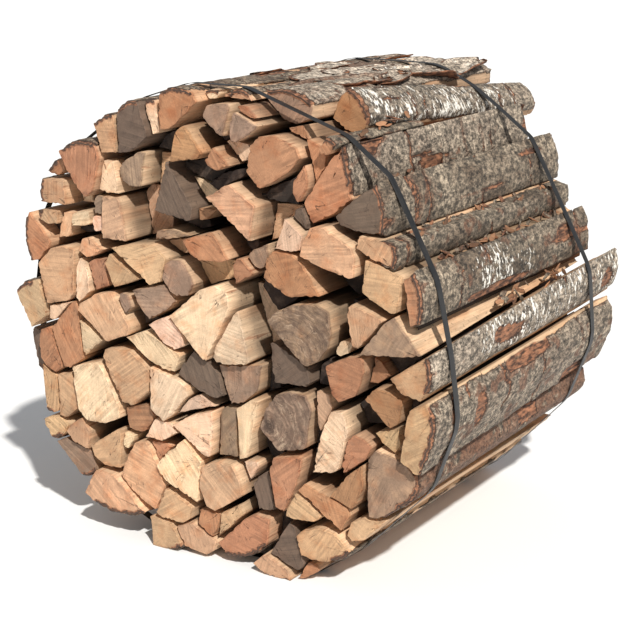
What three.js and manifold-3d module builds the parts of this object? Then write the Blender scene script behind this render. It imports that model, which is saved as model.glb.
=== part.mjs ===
// A round bundle of split birch firewood: about a hundred and fifty splits, each a metre long,
// stacked side by side and tied with two flat black straps.
// Millimetres, +Z up. The splits lie along Y, and the uneven end with the best view is towards -Y.
// The origin is the middle of the underside, where the bundle rests.

import * as THREE from 'three';
import { mergeVertices } from 'three/addons/utils/BufferGeometryUtils.js';
import Module from 'manifold-3d';

const wasm = await Module();
wasm.setup();

// Driving dimensions
const SPLIT_LENGTH = 1000;
const NEAR_PLANE = -500;
const SEAM = 1.2;
const FUSE = 5;
const SHORTEST_EDGE = 3;
const BARK_BULGE = 0.12;
const BARK_STEPS = 4;
const END_SLANT = 0.05;
const DEEP_SHORTFALL = 0.5;
const FAR_SLANT = -0.7;
const LEAST_SHARED_AREA = 0.5;
const SHARPEST_MITRE = 0.2;
const ROOM_GAP = 0.5;
const FLOOR = -590;
const STRAP_WIDTH = 25;
const STRAP_THICKNESS = 1.2;
const STRAP_GAP = 0.5;
const STRAP_FRONT = -404;
const STRAP_REAR = 380;
const GROOVE_WIDTH = STRAP_WIDTH + 3;
const GROOVE_DEPTH = 2 * STRAP_THICKNESS;
const GROOVE_TOP = FLOOR + SEAM + GROOVE_DEPTH;
const BUNDLE_WIDTH = 1300;

// Finishes
const finish = (color, roughness) => new THREE.MeshStandardMaterial({ color, roughness, metalness: 0 });
const FINISH = {
  pale: finish(0xd9b48c, 0.85),
  tan: finish(0xc79a6c, 0.85),
  warm: finish(0xb97a4a, 0.85),
  grey: finish(0x8c7867, 0.9),
  dark: finish(0x57493f, 0.9),
  strap: finish(0x1d2022, 0.45),
};

// Splits whose far end isn't straight behind the near one: how much longer they are, how far the far
// end leans over in x and z, and the share of its size that it shrinks or widens to about a point
const FAR_ENDS = {
  heart_split_06: { taper: 0.75, about: [130, 420] },
  heart_split_07: { taper: 0.55, about: [176, 500] },
  rim_split_07: { taper: 0.85, about: [264, 524], lean: [4, -62] },
  rim_split_08: { extra: -560, taper: 0.6, about: [334, 526] },
  rim_split_13: { taper: 0.7, about: [506, 138], lean: [-10, 10] },
  rim_split_14: { extra: 85, taper: 1.2, about: [604, 0], lean: [28, 62] },
  rim_split_15: { extra: 50, lean: [22, 48] },
  rim_split_16: { lean: [10, 24] },
};

// Each row is one split: name, finish, how far its near end is set back, the corner where its
// bark edge starts (-1 for none), then its corners x, z about the bundle's middle, clockwise
// as seen from the near end

// Splits around the outside, clockwise from the top left
const RIM = [
  ['rim_split_01', 'dark', 8, 1, -302, 456, -300, 572, -228, 600, -204, 532, -201, 506, -229, 481, -263, 462],
  ['rim_split_02', 'pale', 22, 0, -222, 598, -184, 602, -181, 560, -174, 518, -198, 510],
  ['rim_split_03', 'warm', 12, 1, -171, 560, -164, 624, -66, 630, -48, 603, -92, 576, -112, 553, -130, 531, -168, 524],
  ['rim_split_04', 'pale', 60, 1, -56, 608, -62, 628, -8, 632, -22, 606, -44, 603],
  ['rim_split_05', 'tan', 75, 1, -20, 609, -4, 631, 66, 628, 74, 604, 36, 606],
  ['rim_split_06', 'grey', 130, 1, 78, 606, 72, 630, 212, 606, 202, 562, 168, 548, 128, 556, 114, 586],
  ['rim_split_07', 'warm', 230, 3, 203, 553, 219, 591, 225, 613, 248, 640, 312, 566, 300, 532, 272, 521, 236, 533],
  ['rim_split_08', 'warm', 30, 1, 284, 516, 296, 544, 340, 532, 344, 520, 330, 502, 308, 497, 290, 499],
  ['rim_split_09', 'warm', 50, 5, 232, 383, 248, 331, 262, 327, 320, 355, 368, 393, 370, 431, 346, 527, 320, 503, 292, 451],
  ['rim_split_10', 'grey', 25, 2, 337, 357, 361, 383, 447, 451, 473, 317, 425, 319, 351, 335],
  ['rim_split_11', 'tan', 10, 3, 398, 288, 408, 326, 440, 328, 514, 310, 506, 242, 452, 260],
  ['rim_split_12', 'warm', 12, 1, 530, 226, 554, 254, 578, 126, 552, 114, 536, 158],
  ['rim_split_13', 'grey', 8, -1, 408, 28, 428, 58, 488, 130, 506, 138, 548, 90, 584, 52, 556, 46, 466, 36],
  ['rim_split_14', 'tan', 5, 2, 498, -12, 546, 24, 604, 58, 604, -34, 584, -58, 554, -52, 526, -46],
  ['rim_split_15', 'tan', -8, 4, 538, -208, 548, -140, 556, -78, 606, -50, 630, -82, 600, -206, 594, -236, 574, -232],
  ['rim_split_16', 'grey', 10, 5, 438, -300, 440, -224, 460, -198, 546, -216, 574, -240, 584, -278, 528, -336, 484, -372, 444, -374],
  ['rim_split_17', 'tan', 14, -1, 380, -436, 392, -398, 430, -378, 488, -380, 452, -418, 432, -438, 396, -450],
  ['rim_split_18', 'tan', 4, 4, 234, -466, 250, -448, 296, -430, 352, -432, 404, -472, 346, -512, 288, -522, 250, -518],
  ['rim_split_19', 'warm', 25, -1, 262, -532, 286, -540, 294, -556, 250, -590, 226, -590, 248, -568],
  ['rim_split_20', 'tan', 0, -1, 106, -566, 146, -526, 216, -564, 224, -590, 150, -590],
  ['rim_split_21', 'warm', 10, 4, -8, -536, 76, -452, 106, -436, 154, -440, 146, -518, 22, -570],
  ['rim_split_22', 'tan', 6, -1, -136, -514, -108, -510, -88, -496, -28, -534, -10, -534, -18, -566, -44, -582, -112, -572, -134, -548],
  ['rim_split_23', 'tan', 0, 3, -224, -504, -150, -510, -140, -522, -112, -570, -146, -590, -218, -590],
  ['rim_split_24', 'tan', -6, 4, -440, -480, -412, -424, -396, -402, -330, -406, -228, -500, -404, -506],
  ['rim_split_25', 'grey', 14, 4, -548, -356, -520, -338, -478, -362, -424, -360, -410, -420, -462, -448],
  ['rim_split_26', 'tan', 4, 4, -592, -298, -556, -282, -528, -276, -494, -298, -514, -340, -556, -352],
  ['rim_split_27', 'tan', 6, 4, -584, -136, -558, -158, -530, -164, -528, -268, -550, -280, -576, -272],
  ['rim_split_28', 'dark', 45, 4, -650, -62, -638, -50, -612, -58, -590, -88, -586, -188, -636, -164],
  ['rim_split_29', 'tan', 0, 0, -660, 62, -606, 94, -574, 98, -558, 30, -556, -6, -610, -42, -650, 30],
  ['rim_split_30', 'warm', 6, 6, -622, 262, -606, 278, -586, 276, -530, 204, -534, 190, -572, 150, -608, 140],
  ['rim_split_31', 'tan', 10, 0, -583, 262, -565, 290, -505, 290, -508, 252, -545, 248],
  ['rim_split_32', 'tan', 4, 0, -563, 306, -558, 374, -478, 374, -470, 306],
  ['rim_split_33', 'warm', 18, 0, -550, 388, -515, 427, -488, 430, -476, 396, -512, 380],
  ['rim_split_34', 'warm', 0, 1, -492, 450, -478, 464, -365, 482, -350, 440, -380, 352, -405, 332, -432, 354, -468, 402],
  ['rim_split_35', 'tan', 6, 0, -377, 532, -304, 561, -304, 457, -352, 452, -362, 498],
];

// The large splits of the inside
const HEART = [
  ['heart_split_01', 'grey', 22, -1, -312, 408, -300, 436, -245, 465, -222, 466, -232, 420, -238, 374, -275, 372, -302, 386],
  ['heart_split_02', 'dark', 20, -1, -198, 318, -182, 360, -157, 450, -142, 418, -125, 410, -75, 338, -80, 302, -102, 298],
  ['heart_split_03', 'tan', 4, -1, -352, 346, -302, 347, -260, 272, -278, 230, -352, 232, -360, 262],
  ['heart_split_04', 'warm', 0, -1, -105, 238, -94, 264, -50, 316, -36, 314, 18, 268, 48, 222, -20, 192],
  ['heart_split_05', 'tan', 6, -1, -30, 372, 8, 384, 74, 430, 108, 366, 152, 320, 140, 288, 90, 258, 40, 288, 36, 320, 0, 350],
  ['heart_split_06', 'warm', 30, -1, 84, 460, 92, 510, 118, 532, 172, 538, 206, 534, 234, 500, 238, 486, 204, 448, 150, 412, 116, 400, 80, 440],
  ['heart_split_07', 'warm', 100, -1, 160, 548, 204, 558, 240, 532, 232, 518, 198, 494, 184, 496, 162, 512],
  ['heart_split_08', 'tan', 2, -1, 246, 252, 258, 292, 282, 330, 322, 334, 396, 294, 406, 262, 400, 218, 378, 211],
  ['heart_split_09', 'warm', 12, -1, 136, 185, 146, 240, 168, 262, 222, 256, 252, 240, 308, 160, 225, 145, 180, 152],
  ['heart_split_10', 'tan', -12, -1, -136, 58, -28, 148, 12, 158, 52, 150, 56, 100, 4, 0, -18, -44, -30, -44],
  ['heart_split_11', 'tan', -6, -1, -2, -32, 6, 2, 62, 92, 74, 100, 112, -28, 92, -42, 48, -48, 10, -44],
  ['heart_split_12', 'grey', 8, -1, 150, 80, 172, 106, 222, 132, 296, 142, 330, 128, 338, 75, 328, 34, 300, -2, 268, -22, 250, -18],
  ['heart_split_13', 'grey', 18, -1, 112, -200, 120, -168, 166, -108, 204, -96, 258, -96, 276, -130, 290, -190, 280, -232, 178, -258],
  ['heart_split_14', 'pale', -8, -1, -206, -84, -160, -100, -126, -104, -84, -124, -82, -148, -130, -204, -162, -230, -206, -202],
  ['heart_split_15', 'tan', -2, -1, -444, 32, -436, 52, -384, 86, -328, 96, -314, 66, -270, 4, -286, -36, -322, -48, -352, -40],
  ['heart_split_16', 'tan', -4, -1, -362, -84, -352, -58, -272, -56, -236, -74, -206, -104, -212, -160, -264, -208, -302, -202],
  ['heart_split_17', 'pale', -8, -1, -466, -124, -376, -98, -344, -142, -304, -212, -306, -248, -356, -272, -422, -274, -452, -248],
  ['heart_split_18', 'tan', 4, -1, -290, -340, -270, -308, -232, -296, -204, -330, -170, -412, -204, -488, -298, -448, -322, -408],
  ['heart_split_19', 'pale', -4, -1, -196, -366, -178, -328, -98, -264, -46, -318, -72, -348, -62, -436, -104, -418, -164, -396],
  ['heart_split_20', 'tan', -6, -1, -72, -350, -38, -322, 6, -308, 54, -306, 72, -330, 88, -386, 40, -412, -4, -448, -34, -440],
  ['heart_split_21', 'tan', 8, -1, -334, 212, -292, 224, -210, 234, -166, 222, -154, 196, -178, 160, -172, 134, -208, 124],
  ['heart_split_22', 'tan', 2, -1, -206, -494, -186, -432, -168, -414, -80, -452, -88, -490, -112, -506, -182, -504],
];

// The smaller splits of the inside, which sit so tight that they are one stack
const STACK = [
  ['', 'pale', 12, -1, -350, 440, -312, 440, -308, 425, -320, 400, -305, 360, -300, 350, -345, 348, -372, 356, -360, 400],
  ['', 'tan', 24, -1, -503, 290, -465, 288, -474, 262, -470, 232, -478, 218, -518, 212, -515, 240, -507, 255],
  ['', 'pale', 14, -1, -478, 264, -462, 288, -440, 298, -402, 300, -400, 262, -420, 252, -470, 250],
  ['', 'pale', 60, -1, -466, 308, -474, 372, -452, 366, -424, 332, -406, 305],
  ['', 'grey', 16, -1, -390, 300, -392, 330, -378, 345, -352, 340, -352, 292, -388, 290],
  ['', 'pale', 12, -1, -397, 285, -388, 290, -355, 288, -358, 250, -390, 242],
  ['', 'dark', 75, -1, -222, 470, -198, 506, -170, 520, -132, 524, -124, 495, -137, 470, -160, 464],
  ['', 'warm', 45, -1, -76, 336, -14, 338, -48, 305, -72, 302],
  ['', 'warm', 14, -1, -125, 525, -103, 543, -84, 537, -38, 476, -52, 462, -100, 450, -138, 448, -122, 470],
  ['', 'warm', 12, -1, -32, 462, -6, 500, 46, 452, 5, 438, -22, 448],
  ['', 'pale', 60, -1, -2, 504, 8, 514, 70, 506, 84, 470, 50, 456],
  ['', 'grey', 20, -1, 36, 520, 38, 555, 52, 588, 75, 575, 100, 562, 124, 556, 116, 545, 85, 520, 45, 502],
  ['', 'warm', 34, -1, 50, 592, 56, 602, 106, 601, 114, 584, 110, 568, 78, 572],
  ['', 'dark', 26, -1, 152, -84, 150, 22, 168, 26, 214, 2, 246, -18, 262, -24, 270, -66, 256, -80],
  ['', 'warm', 30, -1, 212, 396, 216, 430, 238, 450, 250, 474, 262, 445, 252, 400, 244, 376, 226, 376],
  ['', 'dark', 40, -1, 208, 336, 216, 364, 246, 366, 258, 334, 250, 310, 222, 316],
  ['', 'pale', 14, -1, 170, 260, 182, 310, 186, 330, 200, 345, 225, 330, 256, 302, 248, 262, 218, 257],
  ['', 'grey', 30, -1, 80, 230, 90, 250, 142, 272, 146, 246, 138, 210, 124, 200, 100, 206],
  ['', 'warm', 12, -1, 45, 205, 60, 228, 78, 228, 100, 205, 116, 195, 112, 188, 68, 165, 55, 155, 50, 180],
  ['', 'pale', 30, -1, 335, 35, 350, 55, 385, 62, 388, 45, 378, 25, 352, 10, 338, 18],
  ['', 'tan', 10, -1, 376, 128, 384, 154, 418, 148, 482, 126, 462, 98, 430, 62, 412, 42, 392, 48, 384, 92],
  ['', 'tan', 16, -1, 412, 182, 424, 266, 452, 266, 528, 236, 532, 180, 524, 146, 496, 140, 448, 160],
  ['', 'warm', 22, -1, 420, -78, 448, -48, 492, -50, 548, -66, 532, -112, 512, -134, 492, -146, 448, -106],
  ['', 'warm', 6, -1, 320, -6, 352, 8, 396, 34, 424, 24, 430, -10, 416, -50, 410, -72, 362, -95, 342, -78, 328, -40],
  ['', 'warm', 50, -1, 434, 24, 462, 10, 482, -20, 446, -46, 420, -46, 434, -10],
  ['', 'pale', 12, -1, 282, -290, 296, -222, 312, -160, 330, -122, 366, -118, 386, -164, 346, -212, 356, -272, 344, -282],
  ['', 'tan', 24, -1, 284, -78, 300, -62, 318, -64, 330, -96, 336, -116, 314, -142, 298, -186, 288, -160],
  ['', 'grey', 14, -1, 2, -52, 88, -52, 134, -36, 126, -62, 118, -110, 74, -150, 34, -158, 40, -110],
  ['', 'pale', 10, -1, 56, -160, 100, -130, 142, -130, 122, -160, 112, -190, 96, -206, 94, -252, 88, -290, 62, -298],
  ['', 'grey', 20, -1, 0, -180, 8, -166, 52, -164, 54, -296, -6, -300, 0, -240],
  ['', 'dark', 4, -1, -124, -98, -112, -74, -70, -26, -16, -54, 18, -80, 32, -104, 26, -132, 0, -146, -48, -134, -88, -116],
  ['', 'pale', -6, -1, -138, -234, -78, -194, -6, -174, -4, -236, -16, -304, -34, -306, -100, -258],
  ['', 'pale', 6, -1, -128, -206, -86, -152, -50, -136, -16, -160, -4, -168, -78, -188],
  ['', 'pale', 0, -1, -292, -22, -222, 6, -160, -26, -142, -46, -102, -42, -124, -92, -162, -96, -210, -76],
  ['', 'pale', -4, -1, -212, 24, -186, 42, -146, 58, -132, 50, -96, 16, -92, -20, -134, -38, -156, -22],
  ['', 'grey', 12, -1, -272, 106, -160, 136, -142, 112, -126, 92, -152, 64, -214, 30, -234, 30, -262, 84],
  ['', 'grey', 10, -1, -318, 72, -308, 94, -282, 92, -272, 56, -290, 36, -304, 50],
  ['', 'grey', 4, -1, -176, 162, -152, 194, -130, 214, -98, 198, -84, 168, -62, 152, -82, 112, -118, 106, -142, 116],
  ['', 'grey', 30, -1, -206, 240, -196, 268, -150, 276, -92, 262, -130, 250],
  ['', 'tan', 6, -1, -354, 168, -336, 196, -240, 136, -282, 116, -322, 104],
  ['', 'warm', 16, -1, -416, 162, -396, 174, -354, 178, -366, 146, -346, 102, -394, 84, -404, 120],
  ['', 'pale', 4, -1, -450, 140, -438, 174, -418, 164, -404, 124, -400, 84, -438, 52, -450, 62],
  ['', 'tan', 6, -1, -442, 190, -428, 226, -416, 240, -398, 232, -350, 202, -392, 178, -412, 174],
  ['', 'tan', 0, -1, -576, 144, -530, 192, -488, 202, -446, 196, -450, 140, -462, 96, -456, 62, -486, 48, -512, 26, -552, 34],
  ['', 'pale', 8, -1, -552, 30, -512, 24, -490, 46, -476, 46, -505, -5, -540, -14, -554, -12],
  ['', 'warm', 4, -1, -592, -84, -584, -42, -550, -30, -540, -84, -512, -110, -506, -142, -532, -160, -562, -150, -588, -124],
  ['', 'warm', 6, -1, -546, -32, -502, -4, -480, 48, -452, 58, -446, 30, -460, -30, -456, -62, -432, -104, -480, -140, -504, -136, -540, -80],
  ['', 'pale', 2, -1, -456, -58, -458, -12, -442, 4, -420, 0, -362, -42, -424, -96],
  ['', 'tan', 2, -1, -526, -158, -474, -146, -458, -186, -456, -246, -498, -280, -526, -278],
  ['', 'tan', 0, -1, -506, -316, -472, -284, -444, -268, -414, -304, -424, -356, -446, -366, -470, -358, -492, -326],
  ['', 'tan', 2, -1, -424, -342, -362, -302, -322, -276, -306, -276, -314, -320, -316, -392, -374, -396, -410, -374],
  ['', 'pale', 6, -1, -302, -282, -264, -288, -276, -312, -290, -332, -308, -334, -312, -312],
  ['', 'warm', 6, -1, -298, -214, -252, -206, -214, -192, -200, -222, -212, -264, -252, -282, -290, -274],
  ['', 'pale', 2, -1, -198, -226, -162, -236, -142, -234, -116, -256, -176, -290, -236, -288, -208, -262],
  ['', 'warm', 16, -1, -228, -294, -178, -296, -152, -304, -184, -338, -196, -352, -206, -328],
  ['', 'pale', 24, -1, 66, -302, 112, -298, 116, -312, 90, -352, 76, -328],
  ['', 'dark', 22, -1, 94, -356, 112, -334, 140, -314, 154, -330, 166, -418, 116, -424, 106, -392],
  ['', 'warm', 6, -1, 154, -306, 166, -268, 240, -252, 260, -258, 248, -310, 218, -340, 202, -412, 172, -404],
  ['', 'tan', 2, -1, 206, -418, 218, -346, 242, -348, 316, -398, 300, -416, 232, -426],
  ['', 'warm', 6, -1, 240, -342, 282, -300, 332, -294, 332, -344, 388, -362, 396, -380, 370, -426, 318, -396],
  ['', 'warm', 4, -1, 332, -342, 396, -250, 412, -240, 432, -242, 434, -296, 424, -336, 402, -362, 372, -354],
  ['', 'warm', 18, -1, 346, -212, 398, -172, 424, -178, 446, -196, 432, -232, 402, -240, 366, -284, 358, -256],
  ['', 'tan', 28, -1, 446, -160, 488, -152, 516, -138, 530, -142, 520, -184, 506, -204, 468, -186],
  ['', 'dark', 14, -1, 152, -534, 178, -478, 212, -432, 228, -450, 242, -492, 246, -520, 258, -544, 246, -564, 196, -550],
  ['', 'warm', 8, -1, -70, -498, -64, -454, -34, -448, 4, -452, -2, -490, -20, -530, -46, -516],
  ['', 'tan', 6, -1, 4, -450, 62, -414, 80, -430, 74, -448, 16, -506, -8, -524, 2, -488],
  ['', 'grey', 28, 0, -50, 566, -36, 599, 30, 603, 34, 586, 14, 520, 4, 520],
  ['', 'dark', 60, -1, -60, 395, -5, 432, 60, 448, 74, 436, 45, 412, -28, 377],
  ['', 'dark', 85, -1, 22, 284, 40, 288, 88, 256, 76, 240, 60, 230, 48, 238],
  ['', 'dark', 95, -1, -204, 298, -198, 314, -150, 312, -104, 296, -72, 298, -72, 276, -100, 266, -150, 280, -200, 290],
  ['', 'dark', 85, -1, -148, 424, -138, 446, -98, 448, -54, 460, -24, 446, -4, 434, -42, 384, -72, 404],
  ['', 'dark', 80, -1, -78, 560, -54, 568, -42, 558, 0, 520, 2, 506, -14, 502, -66, 530],
  ['', 'dark', 75, -1, 120, 398, 160, 412, 212, 444, 214, 400, 206, 364, 112, 366, 96, 380],
  ['', 'dark', 130, -1, 268, 240, 374, 206, 396, 212, 410, 176, 376, 156, 340, 145, 310, 164, 284, 206],
  ['', 'dark', 70, -1, 106, 176, 134, 180, 180, 150, 222, 142, 172, 110, 148, 90, 102, 122, 98, 150],
  ['', 'dark', 90, -1, 340, 80, 338, 120, 352, 146, 372, 146, 374, 120, 382, 92, 384, 66],
  ['', 'dark', 85, -1, 440, 32, 560, 42, 546, 26, 498, -10, 484, -22, 462, 10],
  ['', 'dark', 95, -1, 366, -116, 394, -88, 412, -74, 420, -80, 446, -108, 488, -146, 446, -158, 398, -168, 388, -160],
  ['', 'dark', 60, -1, 126, -62, 136, -38, 148, -36, 150, -86, 164, -104, 124, -118],
  ['', 'dark', 65, -1, 272, -26, 300, -4, 318, -10, 326, -40, 338, -78, 322, -64, 300, -60, 284, -76, 268, -84, 272, -66],
  ['', 'dark', 80, -1, 98, -208, 110, -204, 132, -242, 164, -266, 152, -306, 140, -312, 112, -296, 96, -254],
  ['', 'dark', 75, -1, 62, -412, 90, -388, 104, -394, 114, -426, 106, -434, 80, -446],
  ['', 'dark', 70, -1, 168, -424, 202, -414, 208, -432, 176, -478, 152, -530, 148, -518, 156, -440],
  ['', 'dark', 65, -1, 276, -134, 286, -160, 296, -190, 294, -226, 280, -292, 252, -306, 262, -256, 282, -232],
  ['', 'dark', 55, -1, 436, -300, 442, -372, 430, -378, 404, -364, 426, -336],
  ['', 'dark', 75, -1, 530, -62, 552, -76, 546, -140, 536, -206, 522, -184, 532, -142, 516, -136, 536, -112],
  ['', 'dark', 60, -1, 536, 150, 532, 178, 530, 222, 538, 156, 550, 114, 546, 96, 510, 142],
  ['', 'dark', 60, -1, -270, 50, -264, 80, -236, 30, -214, 26, -262, 4, -268, 14],
  ['', 'dark', 60, -1, -584, 256, -550, 244, -520, 240, -522, 214, -530, 206, -558, 238],
  ['', 'dark', 55, -1, -474, 246, -420, 250, -396, 258, -384, 240, -398, 234, -416, 242, -430, 228, -474, 234],
  ['', 'dark', 60, -1, -424, 330, -404, 328, -394, 336, -392, 302, -404, 302],
  ['', 'tan', 115, -1, -298, 350, -275, 370, -236, 370, -205, 360, -200, 320, -206, 245, -275, 232, -258, 272],
  ['', 'tan', 75, -1, -204, 236, -100, 256, -66, 212, -100, 206, -150, 200, -164, 226],
  ['', 'tan', 65, -1, -60, 206, -20, 190, 46, 214, 48, 170, 12, 162, -28, 152, -56, 134, -84, 172, -96, 200],
  ['', 'pale', 105, -1, 60, 152, 98, 150, 98, 124, 148, 86, 150, 26, 116, -26, 78, 98, 60, 100],
  ['', 'tan', 90, -1, -232, 376, -224, 462, -160, 460, -184, 358, -200, 332, -204, 362],
  ['', 'pale', 85, -1, -124, 408, -72, 402, -32, 374, 0, 349, -14, 340, -74, 340],
  ['', 'tan', 100, -1, 110, 362, 206, 362, 208, 340, 184, 328, 170, 262, 144, 276, 94, 258],
  ['', 'warm', 60, -1, 244, 484, 262, 456, 264, 424, 288, 452, 294, 496, 282, 514, 244, 528, 214, 536],
];
const SPLITS = [...RIM, ...HEART, ...STACK];

// Repeatable scatter for a split: a whole number from its place in the list to -1..1
function scatter(index, salt) {
  const turn = Math.sin(index * 12.9898 + salt * 78.233) * 43758.5453;
  return 2 * (turn - Math.floor(turn)) - 1;
}

function cross(a, b, c) {
  return (b[0] - a[0]) * (c[1] - a[1]) - (b[1] - a[1]) * (c[0] - a[0]);
}

// Convex hull of points, counterclockwise
function hull(points) {
  const sorted = [...points].sort((p, q) => p[0] - q[0] || p[1] - q[1]);
  const half = (list) => {
    const chain = [];
    for (const point of list) {
      while (chain.length > 1 && cross(chain.at(-2), chain.at(-1), point) <= 0) chain.pop();
      chain.push(point);
    }
    chain.pop();
    return chain;
  };
  return [...half(sorted), ...half(sorted.reverse())];
}

// The part of a convex outline where (point - origin) . normal is at most reach
function clip(outline, origin, normal, reach) {
  const height = (p) => (p[0] - origin[0]) * normal[0] + (p[1] - origin[1]) * normal[1] - reach;
  const kept = [];
  outline.forEach((point, i) => {
    const next = outline[(i + 1) % outline.length];
    const here = height(point);
    const there = height(next);
    if (here <= 0) kept.push(point);
    if (here * there < 0) {
      const t = here / (here - there);
      kept.push([point[0] + t * (next[0] - point[0]), point[1] + t * (next[1] - point[1])]);
    }
  });
  return kept;
}

function area(outline) {
  return outline.reduce((sum, p, i) => {
    const q = outline[(i + 1) % outline.length];
    return sum + (p[0] * q[1] - q[0] * p[1]) / 2;
  }, 0);
}

function centre(outline) {
  const sum = outline.reduce((total, p) => [total[0] + p[0], total[1] + p[1]], [0, 0]);
  return [sum[0] / outline.length, sum[1] / outline.length];
}

// Outward unit normal of the edge from p to q of a counterclockwise outline
function edgeNormal(p, q) {
  const length = Math.hypot(q[0] - p[0], q[1] - p[1]);
  return [(q[1] - p[1]) / length, (p[0] - q[0]) / length];
}

// What two convex outlines share
function overlap(first, second) {
  return second.reduce((left, p, i) => {
    const q = second[(i + 1) % second.length];
    return left.length > 2 ? clip(left, p, edgeNormal(p, q), 0) : left;
  }, first);
}

function withoutShortEdges(outline) {
  return outline.filter((point, i) => {
    const before = outline[(i + outline.length - 1) % outline.length];
    return Math.hypot(point[0] - before[0], point[1] - before[1]) > SHORTEST_EDGE;
  });
}

// Every edge of a convex outline moved out by a distance, or in by a negative one
function grow(outline, distance) {
  return outline.map((point, i) => {
    const before = outline[(i + outline.length - 1) % outline.length];
    const after = outline[(i + 1) % outline.length];
    const a = edgeNormal(before, point);
    const b = edgeNormal(point, after);
    const scale = distance / Math.max(1 + a[0] * b[0] + a[1] * b[1], SHARPEST_MITRE);
    return [point[0] + (a[0] + b[0]) * scale, point[1] + (a[1] + b[1]) * scale];
  });
}

// The bark edge is a shallow arc, as the outside of the round log it was split from
function withBark(corners, start) {
  if (start < 0) return corners;
  const from = corners[start];
  const to = corners[(start + 1) % corners.length];
  const arc = [];
  for (let step = 1; step < BARK_STEPS; step++) {
    const t = step / BARK_STEPS;
    const rise = 4 * BARK_BULGE * t * (1 - t);
    arc.push([
      from[0] + t * (to[0] - from[0]) - rise * (to[1] - from[1]),
      from[1] + t * (to[1] - from[1]) + rise * (to[0] - from[0]),
    ]);
  }
  return [...corners.slice(0, start + 1), ...arc, ...corners.slice(start + 1)];
}

function readSplit(row, index) {
  const [name, tone, setBack, barkStart, ...flat] = row;
  const corners = [];
  for (let i = 0; i < flat.length; i += 2) corners.push([flat[i], flat[i + 1]]);
  const outline = clip(hull(withBark(corners, barkStart)), [0, FLOOR], [0, -1], 0);
  const near = NEAR_PLANE + setBack;
  const { extra = 0, lean = [0, 0], taper = 1, about = [0, 0] } = FAR_ENDS[name] ?? {};
  const shortfall = name ? -extra : DEEP_SHORTFALL * setBack;
  return { name, tone, index, outline, near, far: near + SPLIT_LENGTH - shortfall, lean, taper, about };
}

// The section of a split at some y: its outline, leaning and tapering evenly from the near end on
function sectionAt(split, outline, y) {
  const share = (y - split.near) / (split.far - split.near);
  const size = 1 - share * (1 - split.taper);
  return outline.map((corner) => corner.map((value, axis) => (
    split.about[axis] + size * (value - split.about[axis]) + share * split.lean[axis])));
}

// Neighbours that crowd each other part along the line through the two points where they cross
function partNeighbours(splits) {
  splits.forEach((first, i) => {
    for (const second of splits.slice(i + 1)) {
      const shared = overlap(first.outline, second.outline);
      if (shared.length < 3 || area(shared) < LEAST_SHARED_AREA) continue;
      let ends = [shared[0], shared[1]];
      for (const p of shared) {
        for (const q of shared) {
          const span = Math.hypot(p[0] - q[0], p[1] - q[1]);
          if (span > Math.hypot(ends[0][0] - ends[1][0], ends[0][1] - ends[1][1])) ends = [p, q];
        }
      }
      const normal = edgeNormal(ends[0], ends[1]);
      const [cx, cz] = centre(first.outline);
      const side = Math.sign((cx - ends[0][0]) * normal[0] + (cz - ends[0][1]) * normal[1]);
      const away = [normal[0] * side, normal[1] * side];
      second.outline = clip(second.outline, ends[0], away, 0);
      first.outline = clip(first.outline, ends[0], [-away[0], -away[1]], 0);
    }
  });
}

// A split: its outline carried from the near end to the far end, both ends cut a little aslant. It can
// run past both ends by a reach.
function splitGeometry(split, inset, reach = 0) {
  const outline = grow(split.outline, -inset);
  const slant = [END_SLANT * scatter(split.index, 1), END_SLANT * scatter(split.index, 2)];
  const count = outline.length;
  const positions = [];
  for (const [y, tilt] of [[split.near - reach, 1], [split.far + reach, FAR_SLANT]]) {
    const section = sectionAt(split, outline, y);
    const [cx, cz] = centre(section);
    for (const [x, z] of section) {
      positions.push(x, y + tilt * (slant[0] * (x - cx) + slant[1] * (z - cz)), z);
    }
  }
  const faces = [];
  for (let i = 0; i < count; i++) {
    const next = (i + 1) % count;
    faces.push(i, count + i, next, next, count + i, count + next);
    if (i > 0 && next > 0) faces.push(0, i, next, count, count + next, count + i);
  }
  const geometry = new THREE.BufferGeometry();
  geometry.setAttribute('position', new THREE.Float32BufferAttribute(positions, 3));
  geometry.setIndex(faces);
  return geometry;
}

function toSolid(geometry) {
  const bare = geometry.clone();
  bare.deleteAttribute('normal');
  bare.deleteAttribute('uv');
  const merged = mergeVertices(bare, 1e-3);
  return new wasm.Manifold(new wasm.Mesh({
    numProp: 3,
    vertProperties: new Float32Array(merged.attributes.position.array),
    triVerts: new Uint32Array(merged.index.array),
  }));
}

function toGeometry(solid) {
  const mesh = solid.getMesh();
  const geometry = new THREE.BufferGeometry();
  geometry.setAttribute('position', new THREE.Float32BufferAttribute(mesh.vertProperties, 3));
  geometry.setIndex([...mesh.triVerts]);
  geometry.computeVertexNormals();
  return geometry;
}

// Shallow pressed grooves let the straps pass under the splits that the bundle rests on
function withGrooves(geometry) {
  return [STRAP_FRONT, STRAP_REAR].reduce((solid, y) => {
    const height = 2 * (GROOVE_TOP - FLOOR);
    const groove = new THREE.BoxGeometry(BUNDLE_WIDTH, GROOVE_WIDTH, height);
    groove.translate(0, y, GROOVE_TOP - height / 2);
    return solid.subtract(toSolid(groove));
  }, toSolid(geometry));
}

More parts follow.
